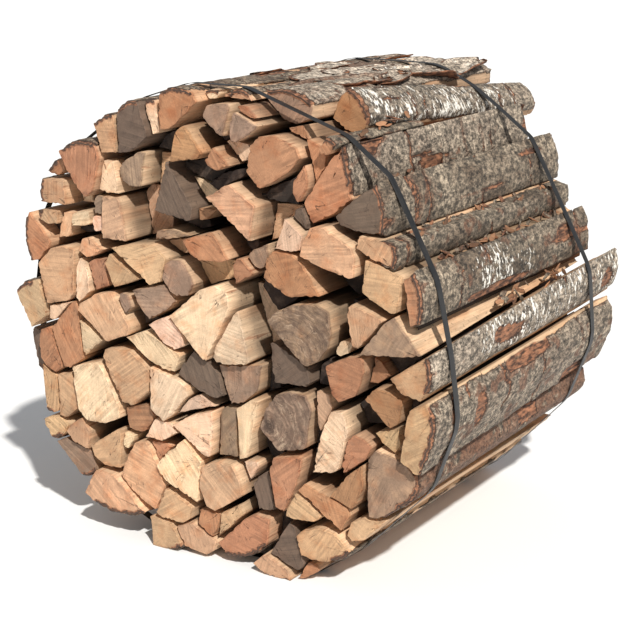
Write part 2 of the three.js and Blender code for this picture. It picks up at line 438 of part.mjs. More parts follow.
// A strap is a flat closed band, pulled straight from one outermost split to the next
function strapGeometry(y, splits) {
  const reached = splits.filter(({ near, far }) => near < y && far > y);
  const edges = [y - STRAP_WIDTH / 2, y + STRAP_WIDTH / 2];
  const sections = reached.flatMap((split) => edges.map((edge) => sectionAt(split, split.outline, edge)));
  const above = sections.flatMap((section) => clip(section, [0, GROOVE_TOP], [0, -1], 0));
  const path = hull(above);
  const inner = grow(path, STRAP_GAP);
  const outer = grow(path, STRAP_GAP + STRAP_THICKNESS);
  const shape = new THREE.Shape(outer.map(([x, z]) => new THREE.Vector2(x, z)));
  shape.holes.push(new THREE.Path(inner.map(([x, z]) => new THREE.Vector2(x, z))));
  const band = new THREE.ExtrudeGeometry(shape, { depth: STRAP_WIDTH, bevelEnabled: false });
  band.rotateX(Math.PI / 2);
  band.translate(0, y + STRAP_WIDTH / 2, 0);
  return band;
}

const splits = SPLITS.map(readSplit);
partNeighbours(splits);
for (const split of splits) split.outline = withoutShortEdges(split.outline);

const bundle = new THREE.Group();
const piece = (name, geometry, tone) => {
  const mesh = new THREE.Mesh(geometry, FINISH[tone]);
  mesh.name = name;
  bundle.add(mesh);
};

for (const split of splits.filter(({ name }) => name)) {
  const geometry = splitGeometry(split, SEAM);
  const rests = split.outline.some(([, z]) => z < GROOVE_TOP);
  piece(split.name, rests ? toGeometry(withGrooves(geometry)) : geometry, split.tone);
}

// The stack's splits swell by FUSE until their flanks meet, and leave room for the large splits
const stacked = splits.filter(({ name }) => !name).map((split) => toSolid(splitGeometry(split, -FUSE)));
const large = splits.filter(({ name }) => name);
const room = large.map((split) => toSolid(splitGeometry(split, SEAM - ROOM_GAP, SPLIT_LENGTH / 2)));
piece('inner_stack', toGeometry(wasm.Manifold.union(stacked).subtract(wasm.Manifold.union(room))), 'tan');

piece('strap_front', strapGeometry(STRAP_FRONT, splits), 'strap');
piece('strap_rear', strapGeometry(STRAP_REAR, splits), 'strap');

// The middle of the underside comes to the origin
const size = new THREE.Box3().setFromObject(bundle);
const middle = size.getCenter(new THREE.Vector3());
bundle.position.set(-middle.x, -middle.y, -size.min.z);
bundle.updateMatrixWorld(true);

export default bundle;
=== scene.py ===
"""The looks of a big round bundle of split firewood, tied with two flat black straps.

Every split is one closed surface: its outline, carried from the near end to the far end, with fibre
ridges along the flanks, sawn ends and, where the log's outside is left on it, a skin of bark. Metres,
+Z up, in the frame that the solids give; the near ends look towards -Y.
"""
import math

import bpy
import numpy as np
from mathutils import Matrix, Vector
from mathutils.geometry import convex_hull_2d


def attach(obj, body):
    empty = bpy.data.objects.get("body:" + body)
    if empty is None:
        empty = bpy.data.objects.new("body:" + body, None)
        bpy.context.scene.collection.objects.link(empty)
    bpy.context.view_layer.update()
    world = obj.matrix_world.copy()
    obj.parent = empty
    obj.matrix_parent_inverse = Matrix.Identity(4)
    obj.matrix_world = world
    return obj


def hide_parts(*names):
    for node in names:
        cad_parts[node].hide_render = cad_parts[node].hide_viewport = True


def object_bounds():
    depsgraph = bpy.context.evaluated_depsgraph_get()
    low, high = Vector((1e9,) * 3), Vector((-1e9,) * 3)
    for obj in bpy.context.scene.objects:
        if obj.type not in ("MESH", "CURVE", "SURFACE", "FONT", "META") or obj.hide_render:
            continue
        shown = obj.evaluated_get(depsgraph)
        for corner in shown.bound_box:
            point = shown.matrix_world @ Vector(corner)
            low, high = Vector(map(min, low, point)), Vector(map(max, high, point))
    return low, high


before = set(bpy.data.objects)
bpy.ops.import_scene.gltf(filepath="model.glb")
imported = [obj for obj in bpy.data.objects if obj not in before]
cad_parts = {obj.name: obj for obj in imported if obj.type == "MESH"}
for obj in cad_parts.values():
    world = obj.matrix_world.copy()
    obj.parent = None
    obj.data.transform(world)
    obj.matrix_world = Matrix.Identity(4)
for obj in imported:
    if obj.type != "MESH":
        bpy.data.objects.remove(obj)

CAD_BOX = [list(corner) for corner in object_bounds()]
MM = 0.001

# Driving dimensions, in metres
BUNDLE_MIDDLE = np.array([0.00363, 0.5888])
NEAR_PLANE = -0.60945
SPLIT_LENGTH = 1.0
MIDDLE_PLANE = NEAR_PLANE + SPLIT_LENGTH / 2
DEEP_SHORTFALL = 0.5
END_SLANT = 0.05
END_REACH = 0.03
SEAM = 0.0012
BARK_THICKNESS = 0.0045

RIM_COUNT = 35
HEART_COUNT = 22
STACK_BATCH = 5
STRAPS = ("strap_front", "strap_rear")
STRAP_WIDTH = 0.025
STRAP_THICKNESS = 0.0012

# Splits of each tone, by the number in their node's name
RIM_TONES = {
    "pale": (2, 4),
    "tan": (5, 11, 14, 15, 17, 18, 20, 22, 23, 24, 26, 27, 29, 31, 32, 35),
    "warm": (3, 7, 8, 9, 12, 19, 21, 30, 33, 34),
    "grey": (6, 13, 16, 25),
    "dark": (1, 10, 28),
}
HEART_TONES = {
    "pale": (10, 11, 14, 17, 19),
    "tan": (3, 5, 8, 15, 16, 18, 20, 21, 22),
    "warm": (4, 6, 7, 9),
    "grey": (1, 12, 13),
    "dark": (2,),
}

# The two corners between which a split of the rim has its bark, x and z in mm about the bundle's middle
BARK_CORNERS = {
    1: (-300, 572, -228, 600),
    2: (-222, 598, -184, 602),
    3: (-164, 624, -66, 630),
    4: (-62, 628, -8, 632),
    5: (-4, 631, 66, 628),
    6: (72, 630, 212, 606),
    7: (248, 640, 312, 566),
    8: (296, 544, 340, 532),
    9: (370, 431, 346, 527),
    10: (447, 451, 473, 317),
    11: (514, 310, 506, 242),
    12: (554, 254, 578, 126),
    14: (604, 58, 604, -34),
    15: (630, -82, 600, -206),
    16: (584, -278, 528, -336),
    18: (404, -472, 346, -512),
    21: (146, -518, 22, -570),
    23: (-112, -570, -146, -590),
    24: (-228, -500, -404, -506),
    25: (-410, -420, -462, -448),
    26: (-514, -340, -556, -352),
    27: (-550, -280, -576, -272),
    28: (-586, -188, -636, -164),
    29: (-660, 62, -606, 94),
    30: (-608, 140, -622, 262),
    31: (-583, 262, -565, 290),
    32: (-563, 306, -558, 374),
    33: (-550, 388, -515, 427),
    34: (-478, 464, -365, 482),
    35: (-377, 532, -304, 561),
}

# How much white lichen the bark of a split has, from 0 to 1, and the shares of its length that it lies
# between; the others have LICHEN_ELSEWHERE
LICHEN = {
    7: (1.0, 0.0, 0.8),
    6: (0.5, 0.0, 1.0),
    8: (0.3, 0.0, 1.0),
    11: (0.45, 0.2, 0.9),
    12: (0.95, 0.3, 0.6),
    14: (0.9, 0.25, 1.0),
}
LICHEN_ELSEWHERE = (0.2, 0.0, 1.0)
PALE_BARK = {6: 0.4, 7: 0.2, 9: 0.2, 14: 0.3, 15: 0.12}

# How far the bark reaches round past its two corners, in mm, and how red and rough it is, from 0 to 1
WRAP = {6: 10, 7: 25, 8: 25, 9: 30, 10: 25, 11: 40, 12: 25, 14: 16, 15: 30, 16: 60}
WRAP_ELSEWHERE = 4
RUST = {8: 0.35, 11: 0.3, 12: 0.3, 15: 0.35, 16: 0.9}
RUST_ELSEWHERE = 0.05

# Patches where the outer bark is gone: their middle as a share of the length and, from -1 to 1, across
# the bark from its lower edge on the right side, and half their length and width in the same shares
BARE_PATCHES = {
    9: [(0.42, -0.85, 0.09, 0.22)],
    12: [(0.42, -0.85, 0.17, 0.2)],
    14: [(0.93, -0.4, 0.03, 0.5)],
    15: [(0.23, 0.1, 0.028, 0.7), (0.5, 1.0, 0.12, 0.18)],
}

# Ends in which the log's heart shows as a dark knot: where it lies, x and z in mm about the middle
KNOTS = {12: (214, -6), 13: (150, -196)}

# Loose slabs of bark lying on the top: the middle x, y, the width and length in mm, how many degrees
# they are turned, how far the far end stands up and how far the edges curl up, in mm, and how red
# they are, from 0 to 1
SLABS = [
    (70, 130, 120, 300, -8, 0, 8, 0.1),
    (165, 250, 105, 250, -20, 9, 17, 0.0),
    (95, 400, 150, 260, 9, 0, 8, 0.15),
    (180, 470, 90, 200, -6, 14, 16, 0.1),
    (40, -60, 110, 240, 12, 0, 7, 0.2),
    (150, -70, 80, 220, -14, 6, 14, 0.7),
    (120, -230, 70, 170, 8, 0, 9, 0.9),
    (185, 70, 60, 200, 10, 10, 14, 0.3),
    (-10, 280, 70, 250, 16, 0, 6, 0.8),
    (-60, 170, 80, 220, 4, 0, 8, 0.1),
    (-120, 330, 70, 240, -12, 0, 6, 0.3),
    (-190, 60, 60, 260, 7, 0, 5, 0.2),
    (-70, 460, 60, 230, -14, 0, 6, 0.6),
]

# Flakes of bark and splinters caught where two splits meet: the two points x, z in mm between which
# they lie, from what y to what y in mm, and how many
FLAKES = [
    (473, 317, 514, 310, -380, 420, 34),
    (506, 242, 552, 252, -330, 460, 46),
    (372, 431, 398, 428, -300, 60, 6),
    (316, 560, 330, 536, -430, 60, 10),
    (578, 122, 596, 70, -100, 330, 22),
]

# The smaller splits inside: tone, how far the near end is set back in mm, and the corners x, z in mm
STACK = [
    ("pale", 12, [-350, 440, -312, 440, -308, 425, -320, 400, -305, 360, -300, 350, -345, 348, -372, 356,
                  -360, 400]),
    ("tan", 24, [-503, 290, -465, 288, -474, 262, -470, 232, -478, 218, -518, 212, -515, 240, -507, 255]),
    ("pale", 14, [-478, 264, -462, 288, -440, 298, -402, 300, -400, 262, -420, 252, -470, 250]),
    ("pale", 60, [-466, 308, -474, 372, -452, 366, -424, 332, -406, 305]),
    ("grey", 16, [-390, 300, -392, 330, -378, 345, -352, 340, -352, 292, -388, 290]),
    ("pale", 12, [-397, 285, -388, 290, -355, 288, -358, 250, -390, 242]),
    ("dark", 75, [-222, 470, -198, 506, -170, 520, -132, 524, -124, 495, -137, 470, -160, 464]),
    ("warm", 45, [-76, 336, -14, 338, -48, 305, -72, 302]),
    ("warm", 14, [-125, 525, -103, 543, -84, 537, -38, 476, -52, 462, -100, 450, -138, 448, -122, 470]),
    ("warm", 12, [-32, 462, -6, 500, 46, 452, 5, 438, -22, 448]),
    ("pale", 60, [-2, 504, 8, 514, 70, 506, 84, 470, 50, 456]),
    ("grey", 20, [36, 520, 38, 555, 52, 588, 75, 575, 100, 562, 124, 556, 116, 545, 85, 520, 45, 502]),
    ("warm", 34, [50, 592, 56, 602, 106, 601, 114, 584, 110, 568, 78, 572]),
    ("dark", 26, [152, -84, 150, 22, 168, 26, 214, 2, 246, -18, 262, -24, 270, -66, 256, -80]),
    ("warm", 30, [212, 396, 216, 430, 238, 450, 250, 474, 262, 445, 252, 400, 244, 376, 226, 376]),
    ("dark", 40, [208, 336, 216, 364, 246, 366, 258, 334, 250, 310, 222, 316]),
    ("pale", 14, [170, 260, 182, 310, 186, 330, 200, 345, 225, 330, 256, 302, 248, 262, 218, 257]),
    ("grey", 30, [80, 230, 90, 250, 142, 272, 146, 246, 138, 210, 124, 200, 100, 206]),
    ("warm", 12, [45, 205, 60, 228, 78, 228, 100, 205, 116, 195, 112, 188, 68, 165, 55, 155, 50, 180]),
    ("pale", 30, [335, 35, 350, 55, 385, 62, 388, 45, 378, 25, 352, 10, 338, 18]),
    ("tan", 10, [376, 128, 384, 154, 418, 148, 482, 126, 462, 98, 430, 62, 412, 42, 392, 48, 384, 92]),
    ("tan", 16, [412, 182, 424, 266, 452, 266, 528, 236, 532, 180, 524, 146, 496, 140, 448, 160]),
    ("warm", 22, [420, -78, 448, -48, 492, -50, 548, -66, 532, -112, 512, -134, 492, -146, 448, -106]),
    ("warm", 6, [320, -6, 352, 8, 396, 34, 424, 24, 430, -10, 416, -50, 410, -72, 362, -95, 342, -78,
                 328, -40]),
    ("warm", 50, [434, 24, 462, 10, 482, -20, 446, -46, 420, -46, 434, -10]),
    ("pale", 12, [282, -290, 296, -222, 312, -160, 330, -122, 366, -118, 386, -164, 346, -212, 356, -272,
                  344, -282]),
    ("tan", 24, [284, -78, 300, -62, 318, -64, 330, -96, 336, -116, 314, -142, 298, -186, 288, -160]),
    ("grey", 14, [2, -52, 88, -52, 134, -36, 126, -62, 118, -110, 74, -150, 34, -158, 40, -110]),
    ("pale", 10, [56, -160, 100, -130, 142, -130, 122, -160, 112, -190, 96, -206, 94, -252, 88, -290, 62,
                  -298]),
    ("grey", 20, [0, -180, 8, -166, 52, -164, 54, -296, -6, -300, 0, -240]),
    ("dark", 4, [-124, -98, -112, -74, -70, -26, -16, -54, 18, -80, 32, -104, 26, -132, 0, -146, -48,
                 -134, -88, -116]),
    ("pale", -6, [-138, -234, -78, -194, -6, -174, -4, -236, -16, -304, -34, -306, -100, -258]),
    ("pale", 6, [-128, -206, -86, -152, -50, -136, -16, -160, -4, -168, -78, -188]),
    ("pale", 0, [-292, -22, -222, 6, -160, -26, -142, -46, -102, -42, -124, -92, -162, -96, -210, -76]),
    ("pale", -4, [-212, 24, -186, 42, -146, 58, -132, 50, -96, 16, -92, -20, -134, -38, -156, -22]),
    ("grey", 12, [-272, 106, -160, 136, -142, 112, -126, 92, -152, 64, -214, 30, -234, 30, -262, 84]),
    ("grey", 10, [-318, 72, -308, 94, -282, 92, -272, 56, -290, 36, -304, 50]),
    ("grey", 4, [-176, 162, -152, 194, -130, 214, -98, 198, -84, 168, -62, 152, -82, 112, -118, 106,
                 -142, 116]),
    ("grey", 30, [-206, 240, -196, 268, -150, 276, -92, 262, -130, 250]),
    ("tan", 6, [-354, 168, -336, 196, -240, 136, -282, 116, -322, 104]),
    ("warm", 16, [-416, 162, -396, 174, -354, 178, -366, 146, -346, 102, -394, 84, -404, 120]),
    ("pale", 4, [-450, 140, -438, 174, -418, 164, -404, 124, -400, 84, -438, 52, -450, 62]),
    ("tan", 6, [-442, 190, -428, 226, -416, 240, -398, 232, -350, 202, -392, 178, -412, 174]),
    ("tan", 0, [-576, 144, -530, 192, -488, 202, -446, 196, -450, 140, -462, 96, -456, 62, -486, 48,
                -512, 26, -552, 34]),
    ("pale", 8, [-552, 30, -512, 24, -490, 46, -476, 46, -505, -5, -540, -14, -554, -12]),
    ("warm", 4, [-592, -84, -584, -42, -550, -30, -540, -84, -512, -110, -506, -142, -532, -160, -562,
                 -150, -588, -124]),
    ("warm", 6, [-546, -32, -502, -4, -480, 48, -452, 58, -446, 30, -460, -30, -456, -62, -432, -104,
                 -480, -140, -504, -136, -540, -80]),
    ("pale", 2, [-456, -58, -458, -12, -442, 4, -420, 0, -362, -42, -424, -96]),
    ("tan", 2, [-526, -158, -474, -146, -458, -186, -456, -246, -498, -280, -526, -278]),
    ("tan", 0, [-506, -316, -472, -284, -444, -268, -414, -304, -424, -356, -446, -366, -470, -358, -492,
                -326]),
    ("tan", 2, [-424, -342, -362, -302, -322, -276, -306, -276, -314, -320, -316, -392, -374, -396, -410,
                -374]),
    ("pale", 6, [-302, -282, -264, -288, -276, -312, -290, -332, -308, -334, -312, -312]),
    ("warm", 6, [-298, -214, -252, -206, -214, -192, -200, -222, -212, -264, -252, -282, -290, -274]),
    ("pale", 2, [-198, -226, -162, -236, -142, -234, -116, -256, -176, -290, -236, -288, -208, -262]),
    ("warm", 16, [-228, -294, -178, -296, -152, -304, -184, -338, -196, -352, -206, -328]),
    ("pale", 24, [66, -302, 112, -298, 116, -312, 90, -352, 76, -328]),
    ("dark", 22, [94, -356, 112, -334, 140, -314, 154, -330, 166, -418, 116, -424, 106, -392]),
    ("warm", 6, [154, -306, 166, -268, 240, -252, 260, -258, 248, -310, 218, -340, 202, -412, 172, -404]),
    ("tan", 2, [206, -418, 218, -346, 242, -348, 316, -398, 300, -416, 232, -426]),
    ("warm", 6, [240, -342, 282, -300, 332, -294, 332, -344, 388, -362, 396, -380, 370, -426, 318, -396]),
    ("warm", 4, [332, -342, 396, -250, 412, -240, 432, -242, 434, -296, 424, -336, 402, -362, 372, -354]),
    ("warm", 18, [346, -212, 398, -172, 424, -178, 446, -196, 432, -232, 402, -240, 366, -284, 358, -256]),
    ("tan", 28, [446, -160, 488, -152, 516, -138, 530, -142, 520, -184, 506, -204, 468, -186]),
    ("dark", 14, [152, -534, 178, -478, 212, -432, 228, -450, 242, -492, 246, -520, 258, -544, 246, -564,
                  196, -550]),
    ("warm", 8, [-70, -498, -64, -454, -34, -448, 4, -452, -2, -490, -20, -530, -46, -516]),
    ("tan", 6, [4, -450, 62, -414, 80, -430, 74, -448, 16, -506, -8, -524, 2, -488]),
    ("grey", 28, [-50, 566, -36, 599, 30, 603, 34, 586, 14, 520, 4, 520]),
    ("dark", 60, [-60, 395, -5, 432, 60, 448, 74, 436, 45, 412, -28, 377]),
    ("dark", 85, [22, 284, 40, 288, 88, 256, 76, 240, 60, 230, 48, 238]),
    ("dark", 95, [-204, 298, -198, 314, -150, 312, -104, 296, -72, 298, -72, 276, -100, 266, -150, 280,
                  -200, 290]),
    ("dark", 85, [-148, 424, -138, 446, -98, 448, -54, 460, -24, 446, -4, 434, -42, 384, -72, 404]),
    ("dark", 80, [-78, 560, -54, 568, -42, 558, 0, 520, 2, 506, -14, 502, -66, 530]),
    ("dark", 75, [120, 398, 160, 412, 212, 444, 214, 400, 206, 364, 112, 366, 96, 380]),
    ("dark", 130, [268, 240, 374, 206, 396, 212, 410, 176, 376, 156, 340, 145, 310, 164, 284, 206]),
    ("dark", 70, [106, 176, 134, 180, 180, 150, 222, 142, 172, 110, 148, 90, 102, 122, 98, 150]),
    ("dark", 90, [340, 80, 338, 120, 352, 146, 372, 146, 374, 120, 382, 92, 384, 66]),
    ("dark", 85, [440, 32, 560, 42, 546, 26, 498, -10, 484, -22, 462, 10]),
    ("dark", 95, [366, -116, 394, -88, 412, -74, 420, -80, 446, -108, 488, -146, 446, -158, 398, -168,
                  388, -160]),
    ("dark", 60, [126, -62, 136, -38, 148, -36, 150, -86, 164, -104, 124, -118]),
    ("dark", 65, [272, -26, 300, -4, 318, -10, 326, -40, 338, -78, 322, -64, 300, -60, 284, -76, 268,
                  -84, 272, -66]),
    ("dark", 80, [98, -208, 110, -204, 132, -242, 164, -266, 152, -306, 140, -312, 112, -296, 96, -254]),
    ("dark", 75, [62, -412, 90, -388, 104, -394, 114, -426, 106, -434, 80, -446]),
    ("dark", 70, [168, -424, 202, -414, 208, -432, 176, -478, 152, -530, 148, -518, 156, -440]),
    ("dark", 65, [276, -134, 286, -160, 296, -190, 294, -226, 280, -292, 252, -306, 262, -256, 282, -232]),
    ("dark", 55, [436, -300, 442, -372, 430, -378, 404, -364, 426, -336]),
    ("dark", 75, [530, -62, 552, -76, 546, -140, 536, -206, 522, -184, 532, -142, 516, -136, 536, -112]),
    ("dark", 60, [536, 150, 532, 178, 530, 222, 538, 156, 550, 114, 546, 96, 510, 142]),
    ("dark", 60, [-270, 50, -264, 80, -236, 30, -214, 26, -262, 4, -268, 14]),
    ("dark", 60, [-584, 256, -550, 244, -520, 240, -522, 214, -530, 206, -558, 238]),
    ("dark", 55, [-474, 246, -420, 250, -396, 258, -384, 240, -398, 234, -416, 242, -430, 228, -474, 234]),
    ("dark", 60, [-424, 330, -404, 328, -394, 336, -392, 302, -404, 302]),
    ("tan", 115, [-298, 350, -275, 370, -236, 370, -205, 360, -200, 320, -206, 245, -275, 232, -258, 272]),
    ("tan", 75, [-204, 236, -100, 256, -66, 212, -100, 206, -150, 200, -164, 226]),
    ("tan", 65, [-60, 206, -20, 190, 46, 214, 48, 170, 12, 162, -28, 152, -56, 134, -84, 172, -96, 200]),
    ("pale", 105, [60, 152, 98, 150, 98, 124, 148, 86, 150, 26, 116, -26, 78, 98, 60, 100]),
    ("tan", 90, [-232, 376, -224, 462, -160, 460, -184, 358, -200, 332, -204, 362]),
    ("pale", 85, [-124, 408, -72, 402, -32, 374, 0, 349, -14, 340, -74, 340]),
    ("tan", 100, [110, 362, 206, 362, 208, 340, 184, 328, 170, 262, 144, 276, 94, 258]),
    ("warm", 60, [244, 484, 262, 456, 264, 424, 288, 452, 294, 496, 282, 514, 244, 528, 214, 536]),
]

# Colours, all as sRGB: the sawn ends in daylight, and how grey each kind has weathered, from 0 to 1.
# The deep kind is no wood colour but painted shadow: near-black ends and flanks for dark splits set
# back at least DEEP_SET_BACK mm, standing for the holes between the splits.
WOOD = {
    "pale": (0.86, 0.735, 0.61),
    "tan": (0.76, 0.61, 0.475),
    "warm": (0.66, 0.48, 0.35),
    "grey": (0.66, 0.54, 0.44),
    "dark": (0.34, 0.275, 0.23),
    "deep": (0.17, 0.125, 0.10),
}
WEATHER = {"pale": 0.08, "tan": 0.15, "warm": 0.18, "grey": 0.5, "dark": 0.6, "deep": 0.3}
DEEP_SET_BACK = 55

# Freshly split flanks are paler than the ends: their colour, and how far each kind has it. Inside the
# bundle painted shade darkens them with depth, down to the share of their light below.
FRESH_FLANK = (0.87, 0.74, 0.60)
FLANK_FRESHNESS = {"pale": 0.75, "tan": 0.7, "warm": 0.45, "grey": 0.7, "dark": 0.1, "deep": 0.0}
LIGHT_LEFT_IN_PAINTED_SHADE = 0.4

# Stains and marks on the wood: tints multiply its colour, the others take its place
WARM_TINT = (0.93, 0.74, 0.58)
GREY_TINT = (0.86, 0.86, 0.88)
TORN_TINT = (0.66, 0.44, 0.33)
# Darkens each sawn end towards its edge
END_EDGE_TINT = (0.66, 0.58, 0.53)
FADED_WOOD = (0.47, 0.39, 0.33)
SWIRL_BROWN = (0.30, 0.23, 0.19)
KNOT_BROWN = (0.22, 0.16, 0.13)
SCRATCH_PALE = (0.74, 0.65, 0.55)
CRACK_BROWN = (0.20, 0.13, 0.09)

# Bark: its outer layer where it is dark, light, pale and red, the lichen, the furrows, the painted shadow
# along the bark's edges, the torn inner layer and the outer layer as cut at the ends
BARK_DARK = (0.335, 0.285, 0.235)
BARK_LIGHT = (0.515, 0.465, 0.40)
BARK_PALE = (0.78, 0.72, 0.65)
BARK_RED = (0.43, 0.295, 0.22)
LICHEN_WHITE = (0.93, 0.91, 0.87)
FURROW_BROWN = (0.12, 0.095, 0.075)
BARK_EDGE_SHADOW = (0.12, 0.085, 0.065)
INNER_DARK = (0.24, 0.15, 0.105)
INNER_ORANGE = (0.64, 0.44, 0.32)
OUTER_CUT = (0.30, 0.23, 0.19)

STRAP_COLOUR = (0.07, 0.075, 0.085)
DUST_COLOUR = (0.33, 0.31, 0.29)

# What the points of a mesh can carry, and how it is stored
CARRIED = {
    **dict.fromkeys(("bark", "rust", "depth", "rim", "lichen", "pale"), ("FLOAT", "value")),
    "tone": ("FLOAT_COLOR", "color"),
    **dict.fromkeys(("pith", "drift"), ("FLOAT_VECTOR", "vector")),
}

# How deep the bark goes, in metres, and what stands for a point with no bark near it
INNER_BARK = 0.0055
BARE = 1.0

# What differs from split to split: how far its patterns are shifted, in metres, how light it is, how far
# towards a corner and beyond its log's heart lies, and how high its bark rises, as a share of its width
DRIFT = 40
SHADES = (0.82, 1.12)
HEART_BEYOND = (0.85, 1.5)
BARK_RISE = (0.04, 0.2)

# A split's grid, in metres: its steps round and along, the rows next to an end with how far they are
# drawn in, and the sizes of the rings in an end
BARK_STEPS = (0.0055, 0.008)
WOOD_STEPS = (0.006, 0.022)
STACK_STEPS = (0.0065, 0.035)
EDGE_ROWS = np.array([0.0, 0.0012, 0.004, 0.012])
EDGE_INSET = np.array([0.0009, 0.0002, 0.0, 0.0])
CAP_RINGS = np.array([0.2, 0.42, 0.62, 0.8, 0.92, 0.975])
CORNER_SOFTNESS = 0.14

# Relief of the flanks in layers: lumps a metre along x, y and z, height in mm, and what is added to the
# seed. Then how far below the outline wood and bark lie, in mm, and how wide the step between them is.
SWAY = [((9, 4, 9), 2.0, 6)]
RIDGES = [((110, 2.5, 110), 1.1, 0), ((38, 1.5, 38), 1.5, 5)]
PLATES = [((50, 35, 50), 1.1, 8), ((105, 85, 105), 0.7, 9)]
WOOD_BELOW = 1.6
BARK_BELOW = 0.9
STEP_WIDTH = 0.012

# Relief of the ends, in mm, and the chips along their edges: lumps a metre, depth in mm, reach in metres.
# The two ends of a split differ by what is added to its seed, and their chips by where they are read.
NEAR_SALT = 11
FAR_SALT = 12
FAR_CHIPS = 40.0
END_WAVES = (35, 1, 35)
END_WAVE_HEIGHT = 1.1
END_PITS = (90, 1, 90)
END_PIT_HEIGHT = 0.5
END_HOLLOW = 0.4
CHIP_LUMPS = 150
CHIP_DEPTH = 7.0
CHIP_LENGTH = 0.010

# How far from an end the flank's own colour starts and holds, and the reach of the painted shade between the
# splits
END_MARGIN = (0.002, 0.014)
PAINTED_SHADE_REACH = (0.012, 0.07)

# Where bark ends, in metres: how soft and frayed its edges are, the cracks across it, its torn ends
BARK_LUMPS = np.array([60, 40, 60])
BARK_FADE = 0.004
FINE_FRAY = 0.003
BROAD_FRAY = 0.007
RED_MARGIN = 0.012
CRACK_COUNT = (3, 6)
CRACK_REACH = 0.47
CRACK_WIDTH = (0.002, 0.008)
CRACK_WANDER = 0.022
CRACK_JITTER = 0.006
CRACK_REDNESS = 0.014
TORN_END = 0.012
RED_END = 0.02

# Loose bark: how a slab rests, buckles and is jagged at its ends, and how the straps press it down, in
# metres; the least and most length, width and thickness of a flake in mm, how deep it sits in metres,
# and how far it is turned and leans at most
TOP_SPLITS = range(1, 7)
SLAB_SIDES = 28
SLAB_STEP = 0.012
SLAB_THICKNESS = 0.0065
SLAB_REST = 0.003
SLAB_BUCKLE = 0.003
SLAB_JAG = 0.035
PRESSED_BY_STRAP = (0.012, 0.09)
UNDER_STRAP = 0.004
FLAKE_SIDES = 10
FLAKE_ROWS = 7
FLAKE_SIZES = ((18, 4, 2), (70, 15, 4.5))
FLAKE_DEPTH = (-0.004, 0.003)
FLAKE_TURN = np.array([0.7, 0.35])
FLAKE_GREY = 0.2

STRAP_SIDES = 16
STRAP_STEP = 0.009
STRAP_SOFTNESS = 0.4

# First seeds of the random numbers; the rim's splits have their own numbers
HEART_SEED = 100
STACK_SEED = 500
SLAB_SEED = 700
FLAKE_SEED = 800
SLANT_SEED = 900

# Shaders: the span that noise mostly keeps to, the depths at which the layers under the bark end, how
# they and the growth rings waver, how wide a knot is and how deep bumps are, in metres
NOISE_SPAN = (0.3, 0.7)
INNER_LAYER = (0.006, 0.009)
OUTER_LAYER = (0.003, 0.0042)
LAYER_WOBBLE = 0.0012
RING_WOBBLE = 0.008
KNOT_EDGE = (0.02, 0.04)
END_BUMPS = 0.002
FLANK_BUMPS = 0.003
STRAP_BUMPS = 0.0006

# Floor and light
FLOOR_HALF = 40.0
FLOOR_COLOUR = (0.93, 0.93, 0.93)
FLOOR_ROUGHNESS = 0.9
SUN_STRENGTH = 4.6
SUN_ANGLE = 2
SUN_COLOUR = (1.0, 0.97, 0.92)
SUN_FROM = (0.62, -0.55, 0.75)
SKY_COLOUR = (0.93, 0.96, 1.0)
SKY_STRENGTH = 0.4

# The view: turned CAMERA_YAW about +Z from looking along +Y, tilted down by CAMERA_PITCH
CAMERA_YAW = -0.556
CAMERA_PITCH = 0.255
CAMERA_SHIFT = (-0.001, 0.045, 4.394)
CAMERA_REACH = 200
FOCAL_PIXELS = 1587
PICTURE_WIDTH = 640
SENSOR_WIDTH = 36

# Large odd numbers that mix whole numbers into repeatable random ones
MIXERS = (374761393, 668265263, 1442695041, 97531)
LAST_MIXER = 1274126177
LOW_32_BITS = 0xFFFFFFFF
LOW_16_BITS = 0xFFFF


def linear(colour):
    """sRGB to linear light: a straight foot below 0.04045, and a power of 2.4 above it."""
    c = np.asarray(colour, float)
    return np.where(c <= 0.04045, c / 12.92, ((c + 0.055) / 1.055) ** 2.4)


def lattice(i, j, k, seed):
    """A repeatable number from 0 to 1 for each whole-number lattice point."""
    mixed = sum(number * mixer for number, mixer in zip((i, j, k, seed), MIXERS)) & LOW_32_BITS
    mixed = ((mixed ^ (mixed >> 13)) * LAST_MIXER) & LOW_32_BITS
    return ((mixed ^ (mixed >> 16)) & LOW_16_BITS) / LOW_16_BITS


def noise(points, seed):
    """Value noise from -1 to 1: random numbers on a unit lattice, blended smoothly between its points."""
    cell = np.floor(points).astype(np.int64)
    part = points - cell
    part = part * part * (3 - 2 * part)
    total = np.zeros(points.shape[:-1])
    for corner in np.ndindex(2, 2, 2):
        weight = np.where(np.array(corner, bool), part, 1 - part).prod(axis=-1)
        at = cell + np.array(corner)
        total += weight * lattice(at[..., 0], at[..., 1], at[..., 2], seed)
    return 2 * total - 1


def layers(points, kinds, seed):
    """A sum of noises, each with its lumps a metre along x, y and z, its height and its own seed."""
    return sum(noise(points * lumps, seed + salt) * height for lumps, height, salt in kinds)


def smooth(low, high, value):
    """0 below low, 1 above high, and the cubic 3t^2 - 2t^3 between them."""
    t = np.clip((value - low) / (high - low), 0, 1)
    return t * t * (3 - 2 * t)


def spread(x, y, z):
    """Three arrays that fit together, as one array of points."""
    return np.stack(np.broadcast_arrays(x, y, z), -1)


# Outlines

def hull(points):
    """The convex outline of points, counterclockwise as seen from the near end."""
    points = np.unique(np.round(points, 6), axis=0)
    outline = points[convex_hull_2d([tuple(p) for p in points])]
    after = np.roll(outline, -1, axis=0)
    turn = np.sum(outline[:, 0] * after[:, 1] - after[:, 0] * outline[:, 1])
    return outline if turn > 0 else outline[::-1]


def clip(outline, origin, normal):
    """The part of a convex outline behind the line through origin with that outward normal."""
    if len(outline) < 3:
        return outline
    height = (outline - origin) @ normal
    kept = []
    for here, after, point, following in zip(
        height, np.roll(height, -1), outline, np.roll(outline, -1, axis=0)
    ):
        if here <= 0:
            kept.append(point)
        if here * after < 0:
            kept.append(point + here / (here - after) * (following - point))
    return np.array(kept).reshape(-1, 2)


